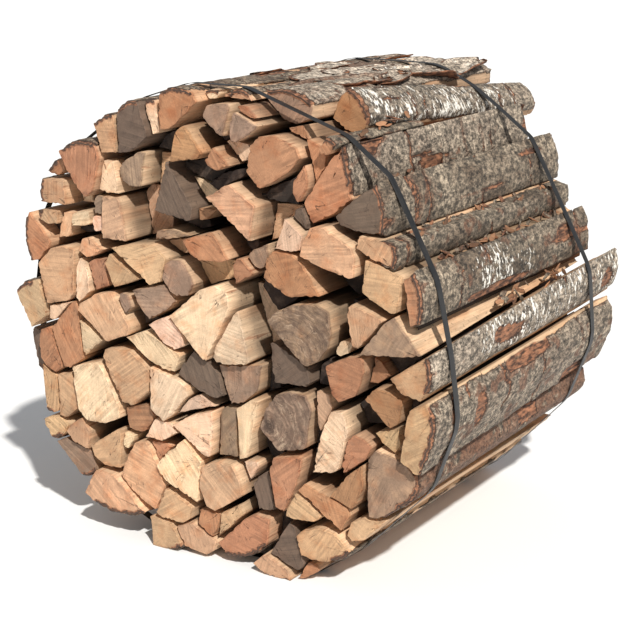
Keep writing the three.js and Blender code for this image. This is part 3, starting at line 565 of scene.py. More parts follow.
def edge_normal(start, end):
    """Outward unit normal of an edge of a counterclockwise outline."""
    along = end - start
    return np.array([along[1], -along[0]]) / max(np.hypot(*along), 1e-9)


def overlap(first, second):
    """What two convex outlines share."""
    for start, end in zip(second, np.roll(second, -1, axis=0)):
        first = clip(first, start, edge_normal(start, end))
    return first


def grown(outline, distance):
    """Every edge of a convex outline moved out by a distance, or in by a negative one."""
    before = np.roll(outline, 1, axis=0)
    after = np.roll(outline, -1, axis=0)
    a = np.array([edge_normal(p, q) for p, q in zip(before, outline)])
    b = np.array([edge_normal(p, q) for p, q in zip(outline, after)])
    scale = distance / np.maximum(1 + np.sum(a * b, axis=1), 0.4)
    return outline + (a + b) * scale[:, None]


def parted(outline, neighbour):
    """A stack split's outline, cut along the line through the two points where a neighbour's crosses it."""
    if np.any(outline.min(0) > neighbour.max(0)) or np.any(outline.max(0) < neighbour.min(0)):
        return outline
    shared = overlap(outline, neighbour)
    if len(shared) < 3:
        return outline
    gaps = np.hypot(*(shared[:, None] - shared[None]).transpose(2, 0, 1))
    i, j = np.unravel_index(gaps.argmax(), gaps.shape)
    if gaps[i, j] < 0.5 * MM:
        return outline
    normal = edge_normal(shared[i], shared[j])
    if (outline.mean(0) - shared[i]) @ normal > 0:
        normal = -normal
    cut = clip(outline, shared[i], normal)
    return cut if len(cut) > 2 else outline


def ring_of(outline, step, softness=CORNER_SOFTNESS):
    """Points round an outline, each side in equal steps from corner to corner, and then each point
    moved a share of the way, softness, to the middle of its two neighbours."""
    sides = np.roll(outline, -1, axis=0) - outline
    counts = np.maximum(1, np.round(np.hypot(*sides.T) / step)).astype(int)
    which = np.repeat(np.arange(len(outline)), counts)
    first = np.repeat(np.cumsum(counts) - counts, counts)
    share = (np.arange(counts.sum()) - first) / counts[which]
    ring = outline[which] + share[:, None] * sides[which]
    between = (np.roll(ring, 1, axis=0) + np.roll(ring, -1, axis=0)) / 2
    return ring + softness * (between - ring)


def outward(ring):
    """Outward unit normals of a ring of points, from each point's two neighbours."""
    along = np.roll(ring, -1, axis=0) - np.roll(ring, 1, axis=0)
    along /= np.maximum(np.hypot(*along.T), 1e-9)[:, None]
    return np.c_[along[:, 1], -along[:, 0]]


class Split:
    """One split: its near outline, the planes y = a + b x + c z of its two ends, the size and shift
    that carry the near outline over to the far one, and how it looks."""

    def __init__(self, outline, near, far, tone, seed, inner=True):
        self.outline = outline
        self.far_size = 1.0
        self.far_shift = np.zeros(2)
        self.near = near
        self.far = far
        self.tone = tone
        self.seed = seed
        self.inner = inner
        self.random = np.random.default_rng(seed)
        self.chord = None
        self.lichen = LICHEN_ELSEWHERE
        self.pale = 0.0
        self.wrap = 0.0
        self.rust = 0.0
        self.patches = []
        self.knot = None

    def give_bark(self, number):
        """The bark of the rim's split with that number."""
        self.chord = np.array(BARK_CORNERS[number], float).reshape(2, 2) * MM + BUNDLE_MIDDLE
        self.lichen = LICHEN.get(number, LICHEN_ELSEWHERE)
        self.pale = PALE_BARK.get(number, 0.0)
        self.wrap = WRAP.get(number, WRAP_ELSEWHERE) * MM
        self.rust = RUST.get(number, RUST_ELSEWHERE)
        self.patches = BARE_PATCHES.get(number, [])


def end_of(points, sign):
    """An end's outline, and the plane y = a + b x + c z through its corners, by least squares."""
    reach = sign * points[:, 1]
    here = points[reach > reach.max() - END_REACH]
    sides = np.c_[np.ones(len(here)), here[:, 0], here[:, 2]]
    return hull(here[:, [0, 2]]), np.linalg.lstsq(sides, here[:, 1], rcond=None)[0]


def node_points(node):
    """The corners of one of the frame's solids."""
    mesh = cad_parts[node].data
    points = np.empty(3 * len(mesh.vertices))
    mesh.vertices.foreach_get("co", points)
    return points.reshape(-1, 3)


def middle_y(points):
    """The y half way between the nearest and the farthest point."""
    return (points[:, 1].min() + points[:, 1].max()) / 2


def node_split(node, tone, seed, inner):
    """The split that a solid of the frame stands for."""
    points = node_points(node)
    outline, near = end_of(points, -1)
    far_outline, far = end_of(points, 1)
    split = Split(outline, near, far, tone, seed, inner)
    split.far_size = np.ptp(far_outline[:, 0]) / np.ptp(outline[:, 0])
    split.far_shift = far_outline.min(0) - split.far_size * outline.min(0)
    return split


def stack_splits(neighbours):
    """The smaller splits, each parted from the large ones and from those before it."""
    outlines = []
    for _, _, corners in STACK:
        outline = hull(np.array(corners, float).reshape(-1, 2) * MM + BUNDLE_MIDDLE)
        for neighbour in neighbours:
            outline = parted(outline, neighbour)
        outlines.append(outline)
    for i in range(len(outlines)):
        for j in range(i + 1, len(outlines)):
            first = parted(outlines[i], outlines[j])
            outlines[j] = parted(outlines[j], outlines[i])
            outlines[i] = first
    splits = []
    for index, ((tone, set_back, _), outline) in enumerate(zip(STACK, outlines)):
        slant = np.random.default_rng(SLANT_SEED + index).uniform(-END_SLANT, END_SLANT, 2)
        near = NEAR_PLANE + set_back * MM
        far = near + SPLIT_LENGTH - DEEP_SHORTFALL * set_back * MM
        planes = [np.array([y - slant @ outline.mean(0), *slant]) for y in (near, far)]
        # Dark splits set far back get the deep tone, which is painted shadow for the holes between the
        # splits
        kind = "deep" if tone == "dark" and set_back >= DEEP_SET_BACK else tone
        splits.append(Split(grown(outline, -SEAM), *planes, kind, STACK_SEED + index))
    return splits


# The surface of a split

def bark_side(split):
    """The unit direction across a split's bark, from its heart outwards."""
    outside = edge_normal(*split.chord[::-1])
    inwards = (split.chord.mean(0) - split.outline.mean(0)) @ outside < 0
    return -outside if inwards else outside


def pith_of(split):
    """The heart of the log that a split came from, x and z.

    With bark, it is the centre of the circle through the bark's two corners and its highest point.
    Without, it is the knot that shows in the end, or lies near one of the split's own corners.
    """
    if split.knot is not None:
        return split.knot
    if split.chord is None:
        corner = split.outline[split.random.integers(len(split.outline))]
        beyond = split.random.uniform(*HEART_BEYOND)
        middle = split.outline.mean(0)
        return middle + (corner - middle) * beyond
    start, end = split.chord
    length = np.hypot(*(end - start))
    middle = (start + end) / 2
    outside = bark_side(split)
    across = np.abs((split.outline - middle) @ (end - start)) / length
    facing = (split.outline - middle) @ outside
    flattest, roundest = length * np.array(BARK_RISE)
    rise = np.clip(facing[across < 0.45 * length].max(initial=0), flattest, roundest)
    return middle + outside * (rise - length**2 / (8 * rise) - rise / 2)


def bark_places(split, ring):
    """For each point round a barked split: how far it is from its bark, walking round the outline,
    and where it lies across the bark, from -1 to 1."""
    walked = np.r_[0, np.cumsum(np.hypot(*(np.roll(ring, -1, axis=0) - ring).T))]
    whole = walked[-1]
    ends = [walked[np.hypot(*(ring - corner).T).argmin()] for corner in split.chord]
    choices = []
    for first, last in (ends, ends[::-1]):
        length = (last - first) % whole
        gone = (walked[:-1] - first) % whole
        facing = ((ring[gone <= length] - split.chord[0]) @ bark_side(split)).mean()
        choices.append((facing, length, gone))
    _, length, gone = max(choices, key=lambda choice: choice[0])
    beyond = np.where(gone <= length, 0.0, np.minimum(gone - length, whole - gone))
    before = (gone > length) & (whole - gone < gone - length)
    across = np.where(before, -1.0, np.clip(2 * gone / max(length, 1e-6) - 1, -1, 1))
    return beyond, across


def distance_to(path, points):
    """How far points are from a path of straight pieces."""
    start, piece = path[:-1], np.diff(path, axis=0)
    from_start = points[..., None, :] - start
    share = np.clip(np.sum(from_start * piece, -1) / np.maximum(np.sum(piece * piece, -1), 1e-12), 0, 1)
    return np.sqrt(np.sum((from_start - share[..., None] * piece) ** 2, -1)).min(-1)


def bark_cover(split, ring, rows_y):
    """How whole the bark is over a flank, from 0 bare to 1, how red it is, and how far bare wood is
    from the bark. It is whole on the round outside, split across by cracks with red edges, frayed
    along both of its edges, torn off at the ends and stripped in a few patches."""
    shape = (len(rows_y), len(ring))
    if split.chord is None:
        return np.zeros(shape), np.zeros(shape), np.full(shape, BARE)
    beyond, across = bark_places(split, ring)
    across = across[None]
    y = rows_y[:, None]
    place = spread(ring[None, :, 0], y, ring[None, :, 1]) * BARK_LUMPS

    def waves(stretch, salt):
        return noise(place * stretch, split.seed + salt)

    fray = waves(1, 0) * FINE_FRAY + waves(0.3, 1) * BROAD_FRAY
    beyond = beyond[None] + fray + BARK_FADE - split.wrap
    cover = smooth(BARK_FADE, 0.0, beyond)
    rust = smooth(-RED_MARGIN, 0.0, beyond) * 0.6

    wander = waves(0.4, 2) * CRACK_WANDER + waves(1, 4) * CRACK_JITTER
    gone = waves(0.22, 5)
    for crack in split.random.uniform(-CRACK_REACH, CRACK_REACH, split.random.integers(*CRACK_COUNT)):
        gap = np.abs(y - rows_y.mean() - crack + wander)
        open_share = smooth(-0.5, 0.4, gone + split.random.uniform(-0.4, 0.5))
        width = split.random.uniform(*CRACK_WIDTH) * open_share
        cover = cover * smooth(0.4, 1.2, gap / np.maximum(width, 1e-4))
        rust = np.maximum(rust, np.exp(-((gap / CRACK_REDNESS) ** 2)) * open_share)

    stripped = noise(spread(across * 2.2, y * 4.5, 0.0), split.seed + 3) + fray * 20
    cover = cover * smooth(-0.8, -0.75, stripped)
    rust = np.maximum(rust, smooth(-0.6, -0.76, stripped))

    from_end = np.minimum(y - rows_y[0], rows_y[-1] - y) - split.random.uniform(0.0, TORN_END) - fray
    cover = cover * smooth(0.0, BARK_FADE, from_end)
    rust = np.maximum(rust, 0.6 * smooth(RED_END, 0.0, from_end))

    along = (y - rows_y[0]) / (rows_y[-1] - rows_y[0])
    for patch_along, patch_across, half_length, half_width in split.patches:
        away = np.hypot((along - patch_along) / half_length, (across - patch_across) / half_width)
        away = away + fray * 25
        cover = cover * smooth(0.95, 1.1, away)
        rust = np.maximum(rust, smooth(1.5, 1.0, away) * 0.8)
    rough = waves(0.5, 6) * 0.6 + waves(1.3, 7) * 0.5
    rust = np.maximum(rust * 0.75, smooth(0.9 - split.rust, 1.3 - split.rust, rough + 0.5))
    return cover, rust, INNER_BARK + np.maximum(beyond, 0)


def flank_relief(split, place, cover, depth):
    """How far the flank stands out from the outline, in mm: fibre ridges on bare wood, plates on bark,
    and a step down where wood borders on bark."""
    sway = layers(place, SWAY, split.seed)
    wood = layers(place, RIDGES, split.seed) + sway - WOOD_BELOW
    bark = layers(place, PLATES, split.seed) + sway * 0.6 - BARK_BELOW
    under = smooth(INNER_BARK + STEP_WIDTH, INNER_BARK, depth) * BARK_THICKNESS / MM
    return (wood - under) * (1 - cover) + bark * cover


def end_cap(split, edge, plane, inwards, salt):
    """Rings from an end's middle out towards its edge, and their y: the end's plane with a little relief
    that dies away towards the edge."""
    flat = edge.mean(0) + (edge - edge.mean(0)) * CAP_RINGS[:, None, None]
    level = plane[0] + flat @ plane[1:]
    spot = spread(flat[..., 0], float(salt), flat[..., 1])
    relief = layers(spot, [(END_WAVES, END_WAVE_HEIGHT, salt), (END_PITS, END_PIT_HEIGHT, 0)], split.seed)
    fade = 1 - CAP_RINGS[:, None] ** 6
    return flat, level + inwards * (relief * fade + END_HOLLOW) * MM


def split_tones(split, along, from_end):
    """The wood's colour and how grey it is, at points a share along the split and so far from its
    nearer end. The flanks are fresher than the ends, and inside the bundle painted shade darkens them
    with depth. The painted shadow of a deep split turns to warm wood towards its far end."""
    shade = split.random.uniform(*SHADES)
    end_tone = linear(WOOD[split.tone]) * shade * (1 + split.random.uniform(-0.05, 0.05, 3))
    # The deep tone's painted shadow turns to warm wood towards the far end
    far_tone = linear(WOOD["warm"]) * shade if split.tone == "deep" else end_tone
    end_tone = end_tone + smooth(0.5, 0.95, along)[:, None] * (far_tone - end_tone)
    freshness = FLANK_FRESHNESS[split.tone]
    flank_tone = end_tone + (linear(FRESH_FLANK) * shade - end_tone) * freshness
    on_flank = smooth(*END_MARGIN, from_end)[:, None]
    # Painted shade: inner splits are darkened with depth from their nearer end
    painted_shade = 1 - split.inner * (1 - LIGHT_LEFT_IN_PAINTED_SHADE) * smooth(*PAINTED_SHADE_REACH, from_end)[:, None]
    weather = WEATHER[split.tone] * (1 - on_flank * freshness)
    return np.concatenate([(end_tone + on_flank * (flank_tone - end_tone)) * painted_shade, weather], axis=1)


def split_surface(split, step_round, step_along):
    """A split as one grid: rows from the near end's middle out to its edge, along the flanks to the
    far end's edge and in to its middle; columns round the outline. Each flank point is the outline
    point moved outwards by fibre ridges that run the length of the split, less chips at the ends."""
    ring = ring_of(split.outline, step_round)
    count = len(ring)
    far_ring = split.far_size * ring + split.far_shift
    length = split.far @ np.array([1, *far_ring.mean(0)]) - split.near @ np.array([1, *ring.mean(0)])
    inner = np.arange(EDGE_ROWS[-1] + step_along, length - EDGE_ROWS[-1], step_along)
    share = np.concatenate([EDGE_ROWS, inner, length - EDGE_ROWS[::-1]]) / length
    inset = np.concatenate([EDGE_INSET, np.zeros(len(inner)), EDGE_INSET[::-1]])
    start = split.near @ np.array([np.ones(count), *ring.T])
    end = split.far @ np.array([np.ones(count), *far_ring.T])
    y = start[None] + share[:, None] * (end - start)[None]

    cover, rust, depth = bark_cover(split, ring, y.mean(1))
    relief = flank_relief(split, spread(ring[None, :, 0], y, ring[None, :, 1]), cover, depth)
    from_end = np.minimum(share, 1 - share)[:, None] * length
    side = np.where(share[:, None] < 0.5, 0.0, FAR_CHIPS)
    torn = noise(spread(ring[None, :, 0] * CHIP_LUMPS, side, ring[None, :, 1] * CHIP_LUMPS), split.seed + 7)
    chips = np.clip(torn - 0.2, 0, 1) * CHIP_DEPTH * np.exp(-from_end / CHIP_LENGTH)
    out = (relief - chips) * MM - inset[:, None]
    flank = ring[None] + outward(ring)[None] * out[..., None]
    carried = share[:, None, None]
    flank = flank * (1 + carried * (split.far_size - 1)) + carried * split.far_shift

    near_flat, near_y = end_cap(split, flank[0], split.near, 1, NEAR_SALT)
    far_flat, far_y = end_cap(split, flank[-1], split.far, -1, FAR_SALT)
    rows = np.concatenate([near_flat, flank, far_flat[::-1]])
    levels = np.concatenate([near_y, y, far_y[::-1]])
    grid = spread(rows[..., 0], levels, rows[..., 1])

    cap_rows = len(CAP_RINGS)
    caps = ((cap_rows, cap_rows), (0, 0))
    depth = np.pad(depth, caps, constant_values=BARE)
    if split.chord is not None:
        on_bark = bark_places(split, ring)[0] <= 0
        turned = np.roll(np.arange(count), -np.flatnonzero(~on_bark)[0])
        for cap, edge in ((slice(0, cap_rows + 1), flank[0]), (slice(-cap_rows - 1, None), flank[-1])):
            path = edge[turned][on_bark[turned]]
            depth[cap] = distance_to(path, grid[cap][..., [0, 2]])
    rim = np.zeros(len(grid))
    rim[: cap_rows + 1] = np.append(CAP_RINGS, 1)
    rim[-cap_rows - 1 :] = np.append(1, CAP_RINGS[::-1])
    is_end = np.pad(np.zeros(len(grid) - 1 - 2 * cap_rows, int), cap_rows, constant_values=1)

    along = np.append(np.repeat(np.pad(share, cap_rows, mode="edge"), count), [0, 1])
    from_end = np.append(np.repeat(np.pad(from_end[:, 0], cap_rows), count), [0, 0])
    amount, lichen_from, lichen_to = split.lichen
    inside = smooth(lichen_from - 0.12, lichen_from + 0.04, along)
    inside = inside * smooth(lichen_to + 0.12, lichen_to - 0.04, along)
    return closed_surface(
        grid,
        np.repeat(is_end, count),
        bark=np.append(np.pad(cover, caps), [0, 0]),
        rust=np.append(np.pad(rust, caps), [0, 0]),
        depth=np.append(depth, [BARE, BARE]),
        rim=np.append(np.repeat(rim, count), [0, 0]),
        lichen=LICHEN_ELSEWHERE[0] + (amount - LICHEN_ELSEWHERE[0]) * inside,
        pale=split.pale,
        tone=split_tones(split, along, from_end),
        pith=(*pith_of(split), split.knot is not None),
        drift=split.random.uniform(-DRIFT, DRIFT, 3),
    )


# Meshes

def surface(points, quads, fans, materials=0, **carried):
    """One closed surface for mesh_piece: its points, its faces with four and with three corners, the
    quads' materials, and what the points carry. What all points share is given once."""
    made = {"points": points, "quads": quads, "fans": fans}
    made["materials"] = np.broadcast_to(materials, len(quads))
    for label, value in carried.items():
        value = np.asarray(value, float)
        everywhere = value.shape[:1] == (len(points),)
        made[label] = value if everywhere else np.broadcast_to(value, (len(points), *value.shape))
    return made


def closed_surface(grid, materials=0, **carried):
    """A grid whose rows each close up into a ring, and whose first and last rows close on their middle
    points. These two come after the grid's own points."""
    row_count, count = grid.shape[:2]
    index = np.arange(row_count * count).reshape(row_count, count)
    beside = np.roll(index, -1, axis=1)
    quads = np.stack([index[:-1], index[1:], beside[1:], beside[:-1]], -1).reshape(-1, 4)
    pole = np.full(count, row_count * count)
    near_fan = np.stack([pole, index[0], beside[0]], -1)
    far_fan = np.stack([pole + 1, beside[-1], index[-1]], -1)
    points = np.concatenate([grid.reshape(-1, 3), grid[[0, -1]].mean(1)])
    return surface(points, quads, np.concatenate([near_fan, far_fan]), materials, **carried)


def place_in_scene(name, data):
    """A new object in the scene."""
    item = bpy.data.objects.new(name, data)
    bpy.context.scene.collection.objects.link(item)
    return item


def mesh_piece(name, surfaces, materials):
    """One object from one or more surfaces, with what their points carry and their materials."""
    def joined(label):
        return np.concatenate([part[label] for part in surfaces])

    offsets = np.cumsum([0] + [len(part["points"]) for part in surfaces])
    points = np.clip(joined("points"), *CAD_BOX)
    quads, fans = (
        np.concatenate([part[label] + offset for part, offset in zip(surfaces, offsets)])
        for label in ("quads", "fans")
    )
    mesh = bpy.data.meshes.new(name)
    mesh.vertices.add(len(points))
    mesh.vertices.foreach_set("co", points.astype(np.float32).ravel())
    mesh.loops.add(quads.size + fans.size)
    mesh.loops.foreach_set("vertex_index", np.concatenate([quads.ravel(), fans.ravel()]).astype(np.int32))
    starts = np.concatenate([np.arange(len(quads)) * 4, quads.size + np.arange(len(fans)) * 3])
    mesh.polygons.add(len(starts))
    mesh.polygons.foreach_set("loop_start", starts.astype(np.int32))
    which = np.append(joined("materials"), np.ones(len(fans), int))
    for material in materials:
        mesh.materials.append(material)
    mesh.update(calc_edges=True)
    mesh.polygons.foreach_set("material_index", np.minimum(which, len(materials) - 1).astype(np.int32))
    mesh.polygons.foreach_set("use_smooth", np.ones(len(starts), bool))
    for label, (kind, field) in CARRIED.items():
        if label in surfaces[0]:
            values = joined(label).astype(np.float32)
            mesh.attributes.new(label, kind, "POINT").data.foreach_set(field, values.ravel())
    mesh.validate()
    piece = place_in_scene(name, mesh)
    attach(piece, "root")
    return piece


# Shader building

class Nodes:
    """Adds nodes to one tree. A socket given as a value is linked, and a plain value is set. A colour
    is given as sRGB."""

    def __init__(self, tree):
        self.tree = tree

    def add(self, kind, settings=None, **values):
        node = self.tree.nodes.new(kind)
        for key, value in (settings or {}).items():
            setattr(node, key, value)
        for key, value in values.items():
            self.put(node.inputs[key], value)
        return node

    def put(self, socket, value):
        if isinstance(value, bpy.types.NodeSocket):
            self.tree.links.new(value, socket)
        elif socket.type == "RGBA":
            socket.default_value = (*linear(value), 1.0)
        elif socket.type == "VECTOR":
            socket.default_value = tuple(value)
        else:
            socket.default_value = value

    def math(self, operation, first, second=0.0, kind="ShaderNodeMath"):
        node = self.add(kind, {"operation": operation})
        self.put(node.inputs[0], first)
        self.put(node.inputs[1], second)
        return node.outputs[0]

    def plus(self, first, second):
        return self.math("ADD", first, second)

    def minus(self, first, second):
        return self.math("SUBTRACT", first, second)

    def times(self, first, second):
        return self.math("MULTIPLY", first, second)

    def vector(self, operation, first, second):
        return self.math(operation, first, second, "ShaderNodeVectorMath")

    def point(self, x, y, z):
        """Three numbers as one vector."""
        return self.add("ShaderNodeCombineXYZ", X=x, Y=y, Z=z).outputs[0]

    def parts(self, vector):
        """The three numbers of a vector."""
        return self.add("ShaderNodeSeparateXYZ", Vector=vector).outputs

    def mix(self, share, first, second, blend="MIX"):
        """From the first colour to the second by a share."""
        node = self.add("ShaderNodeMix", {"data_type": "RGBA", "blend_type": blend})
        self.put(node.inputs[0], share)
        self.put(node.inputs[6], first)
        self.put(node.inputs[7], second)
        return node.outputs[2]

    def tinted(self, colour, tint):
        """A colour multiplied by another."""
        return self.mix(1.0, colour, tint, "MULTIPLY")

    def range(self, value, low, high, to_low=0.0, to_high=1.0):
        """A value's range from low to high carried over to another, and held at its ends."""
        node = self.add("ShaderNodeMapRange", {"clamp": True}, Value=value)
        limits = {"From Min": low, "From Max": high, "To Min": to_low, "To Max": to_high}
        for label, given in limits.items():
            self.put(node.inputs[label], given)
        return node.outputs["Result"]

    def noise(self, place, stretch=(1, 1, 1), detail=3.0, roughness=0.55, shift=None):
        """Noise with so many lumps a metre along each axis, at places moved by a shift."""
        if shift is not None:
            place = self.vector("ADD", place, shift)
        scaled = self.vector("MULTIPLY", place, stretch)
        node = self.add("ShaderNodeTexNoise", Vector=scaled, Scale=1.0, Detail=detail, Roughness=roughness)
        return node.outputs["Fac"]

    def waves(self, place, stretch, height, detail=3.0, roughness=0.55, shift=None):
        """Noise that goes from -height to height."""
        value = self.noise(place, stretch, detail, roughness, shift)
        return self.range(value, *NOISE_SPAN, -height, height)

    def shaded(self, colour, value, darkest, lightest, span=NOISE_SPAN):
        """A colour multiplied by a number from darkest to lightest, as a value goes over its span."""
        factor = self.range(value, *span, darkest, lightest)
        return self.vector("MULTIPLY", colour, self.point(factor, factor, factor))

    def line(self, value, level, half_width):
        """1 where a value passes a level, and 0 from half_width off it."""
        return self.range(self.math("ABSOLUTE", self.minus(value, level)), 0.0, half_width, 1, 0)

    def attribute(self, name, output="Fac"):
        """What the points of the mesh carry under a name."""
        return self.add("ShaderNodeAttribute", {"attribute_name": name}).outputs[output]

    def group(self, tree, **values):
        return self.add("ShaderNodeGroup", {"node_tree": tree}, **values).outputs


def new_group(name, inputs, outputs):
    """An empty node group with its sockets; returns its nodes, its input sockets and its output node."""
    tree = bpy.data.node_groups.new(name, "ShaderNodeTree")
    for sockets, side in ((inputs, "INPUT"), (outputs, "OUTPUT")):
        for label, kind in sockets.items():
            tree.interface.new_socket(label, in_out=side, socket_type="NodeSocket" + kind)
    return Nodes(tree), tree.nodes.new("NodeGroupInput").outputs, tree.nodes.new("NodeGroupOutput").inputs


def new_material(name):
    """A material with only its shader and output; returns it with its nodes and the shader's sockets."""
    material = bpy.data.materials.new(name)
    material.use_nodes = True
    material.node_tree.nodes.clear()
    nodes = Nodes(material.node_tree)
    shader = nodes.add("ShaderNodeBsdfPrincipled")
    nodes.add("ShaderNodeOutputMaterial", Surface=shader.outputs[0])
    return material, nodes, shader.inputs


def dress(n, shader, colour, roughness, height, strength, relief):
    """Gives a shader its colour and roughness, and a height as bumps, relief metres deep."""
    bump = n.add("ShaderNodeBump", Strength=strength, Distance=relief, Height=height)
    n.put(shader["Base Color"], colour)
    n.put(shader["Roughness"], roughness)
    n.put(shader["Normal"], bump.outputs[0])


def make_weathering():
    """Wood colour with broad stains, and greyed where the weather has been at it."""
    n, given, out = new_group(
        "weathering", {"Color": "Color", "Place": "Vector", "Amount": "Float"}, {"Color": "Color"}
    )
    place = given["Place"]
    stain = n.noise(place, (16, 7, 16), 4, 0.6)
    colour = n.shaded(given["Color"], stain, 0.78, 1.16, (0.25, 0.75))
    warmth = n.range(n.noise(place, (22, 5, 22), shift=(7, 3, 5)), 0.5, 0.75, 0, 0.55)
    colour = n.mix(warmth, colour, n.tinted(colour, WARM_TINT))
    patches = n.noise(place, (26, 9, 26), 5, 0.65, shift=(1, 9, 4))
    edge = n.minus(0.92, given["Amount"])
    grey = n.range(patches, n.minus(edge, 0.12), n.plus(edge, 0.12), 0, 0.75)
    faded = n.mix(0.7, n.tinted(colour, GREY_TINT), FADED_WOOD)
    n.put(out["Color"], n.mix(grey, colour, faded))
    return n.tree


def make_rind():
    """The layers under the bark, by how far a point is in from the bark's outside."""
    n, given, out = new_group(
        "rind", {"Color": "Color", "Depth": "Float", "Place": "Vector"}, {"Color": "Color"}
    )
    place = given["Place"]
    depth = n.plus(given["Depth"], n.waves(place, (70, 20, 70), LAYER_WOBBLE))
    inner = n.range(depth, *INNER_LAYER, 1, 0)
    outer = n.range(depth, *OUTER_LAYER, 1, 0)
    tear = n.range(n.noise(place, (110, 30, 110), roughness=0.6), 0.4, 0.66)
    colour = n.mix(inner, given["Color"], n.mix(tear, INNER_DARK, INNER_ORANGE))
    n.put(out["Color"], n.mix(outer, colour, OUTER_CUT))
    return n.tree


def make_bark_skin():
    """Smooth grey bark: speckle, flecks that run across the log, white lichen and fine cracks."""
    n, given, out = new_group(
        "bark skin",
        {"Place": "Vector", "Lichen": "Float", "Rust": "Float", "Pale": "Float"},
        {"Color": "Color", "Height": "Float"},
    )
    place = given["Place"]
    lichen = given["Lichen"]
    broad = n.noise(place, (13, 8, 13), 4, 0.6)
    speckle = n.noise(place, (150, 85, 150), 4, 0.75)
    grain = n.noise(place, (72, 42, 72), 4, 0.72)
    colour = n.mix(n.range(broad, 0.38, 0.62), BARK_DARK, BARK_LIGHT)
    colour = n.mix(given["Pale"], colour, BARK_PALE)
    colour = n.shaded(colour, speckle, 0.4, 1.7, (0.38, 0.62))
    colour = n.shaded(colour, grain, 0.32, 1.67, (0.39, 0.61))

    red = n.plus(given["Rust"], n.waves(place, (60, 90, 60), 0.35, 4, 0.65))
    red_bark = n.shaded(linear(BARK_RED), speckle, 0.4, 1.6, (0.36, 0.64))
    colour = n.mix(n.range(red, 0.3, 0.9, 0, 0.75), colour, red_bark)

    patch = n.noise(place, (9, 6, 9), shift=(2, 7, 1))
    fleck = n.noise(place, (46, 90, 46), roughness=0.68)
    edge = n.minus(0.79, n.times(lichen, n.range(patch, 0.38, 0.62, 0.17, 0.29)))
    white = n.range(fleck, edge, n.plus(edge, 0.035), 0, 0.95)
    colour = n.mix(white, n.shaded(colour, lichen, 1.0, 0.7, (0, 1)), LICHEN_WHITE)

    furrow = n.noise(place, (20, 90, 20), shift=(3, 1, 8))
    dark = n.times(n.line(furrow, 0.5, 0.028), n.range(broad, 0.42, 0.58))
    colour = n.mix(n.times(dark, 0.85), colour, FURROW_BROWN)
    height = n.plus(n.times(speckle, 0.35), n.times(grain, 0.65))
    height = n.minus(n.plus(height, n.times(white, 0.15)), n.times(dark, 0.5))
    n.put(out["Color"], colour)
    n.put(out["Height"], height)
    return n.tree


def make_fibres():
    """Wood fibres that run the length of a split: fine hair lines on broader bands."""
    n, given, out = new_group(
        "fibres", {"Color": "Color", "Place": "Vector"}, {"Color": "Color", "Height": "Float"}
    )
    place = given["Place"]
    hair = n.noise(place, (260, 9, 260), roughness=0.6)
    band = n.noise(place, (48, 3, 48), 4, 0.6)
    colour = n.shaded(given["Color"], hair, 0.80, 1.18)
    colour = n.shaded(colour, band, 0.72, 1.2)
    torn = n.range(n.noise(place, (75, 6, 75), shift=(4, 2, 6)), 0.62, 0.72, 0, 0.65)
    n.put(out["Color"], n.mix(torn, colour, n.tinted(colour, TORN_TINT)))
    n.put(out["Height"], n.plus(n.times(hair, 0.4), band))
    return n.tree


WEATHERING = make_weathering()
RIND = make_rind()
BARK_SKIN = make_bark_skin()
FIBRES = make_fibres()


def surface_places(n):
    """Object position, each split's own shift for its patterns, and the position with the shift."""
    position = n.add("ShaderNodeTexCoord").outputs["Object"]
    drift = n.attribute("drift", "Vector")
    return position, drift, n.vector("ADD", position, drift)


def weathered(n, place):
    """The wood's own tone, weathered by the amount in the tone's alpha."""
    amount = n.attribute("tone", "Alpha")
    return n.group(WEATHERING, Color=n.attribute("tone", "Color"), Place=place, Amount=amount)["Color"]


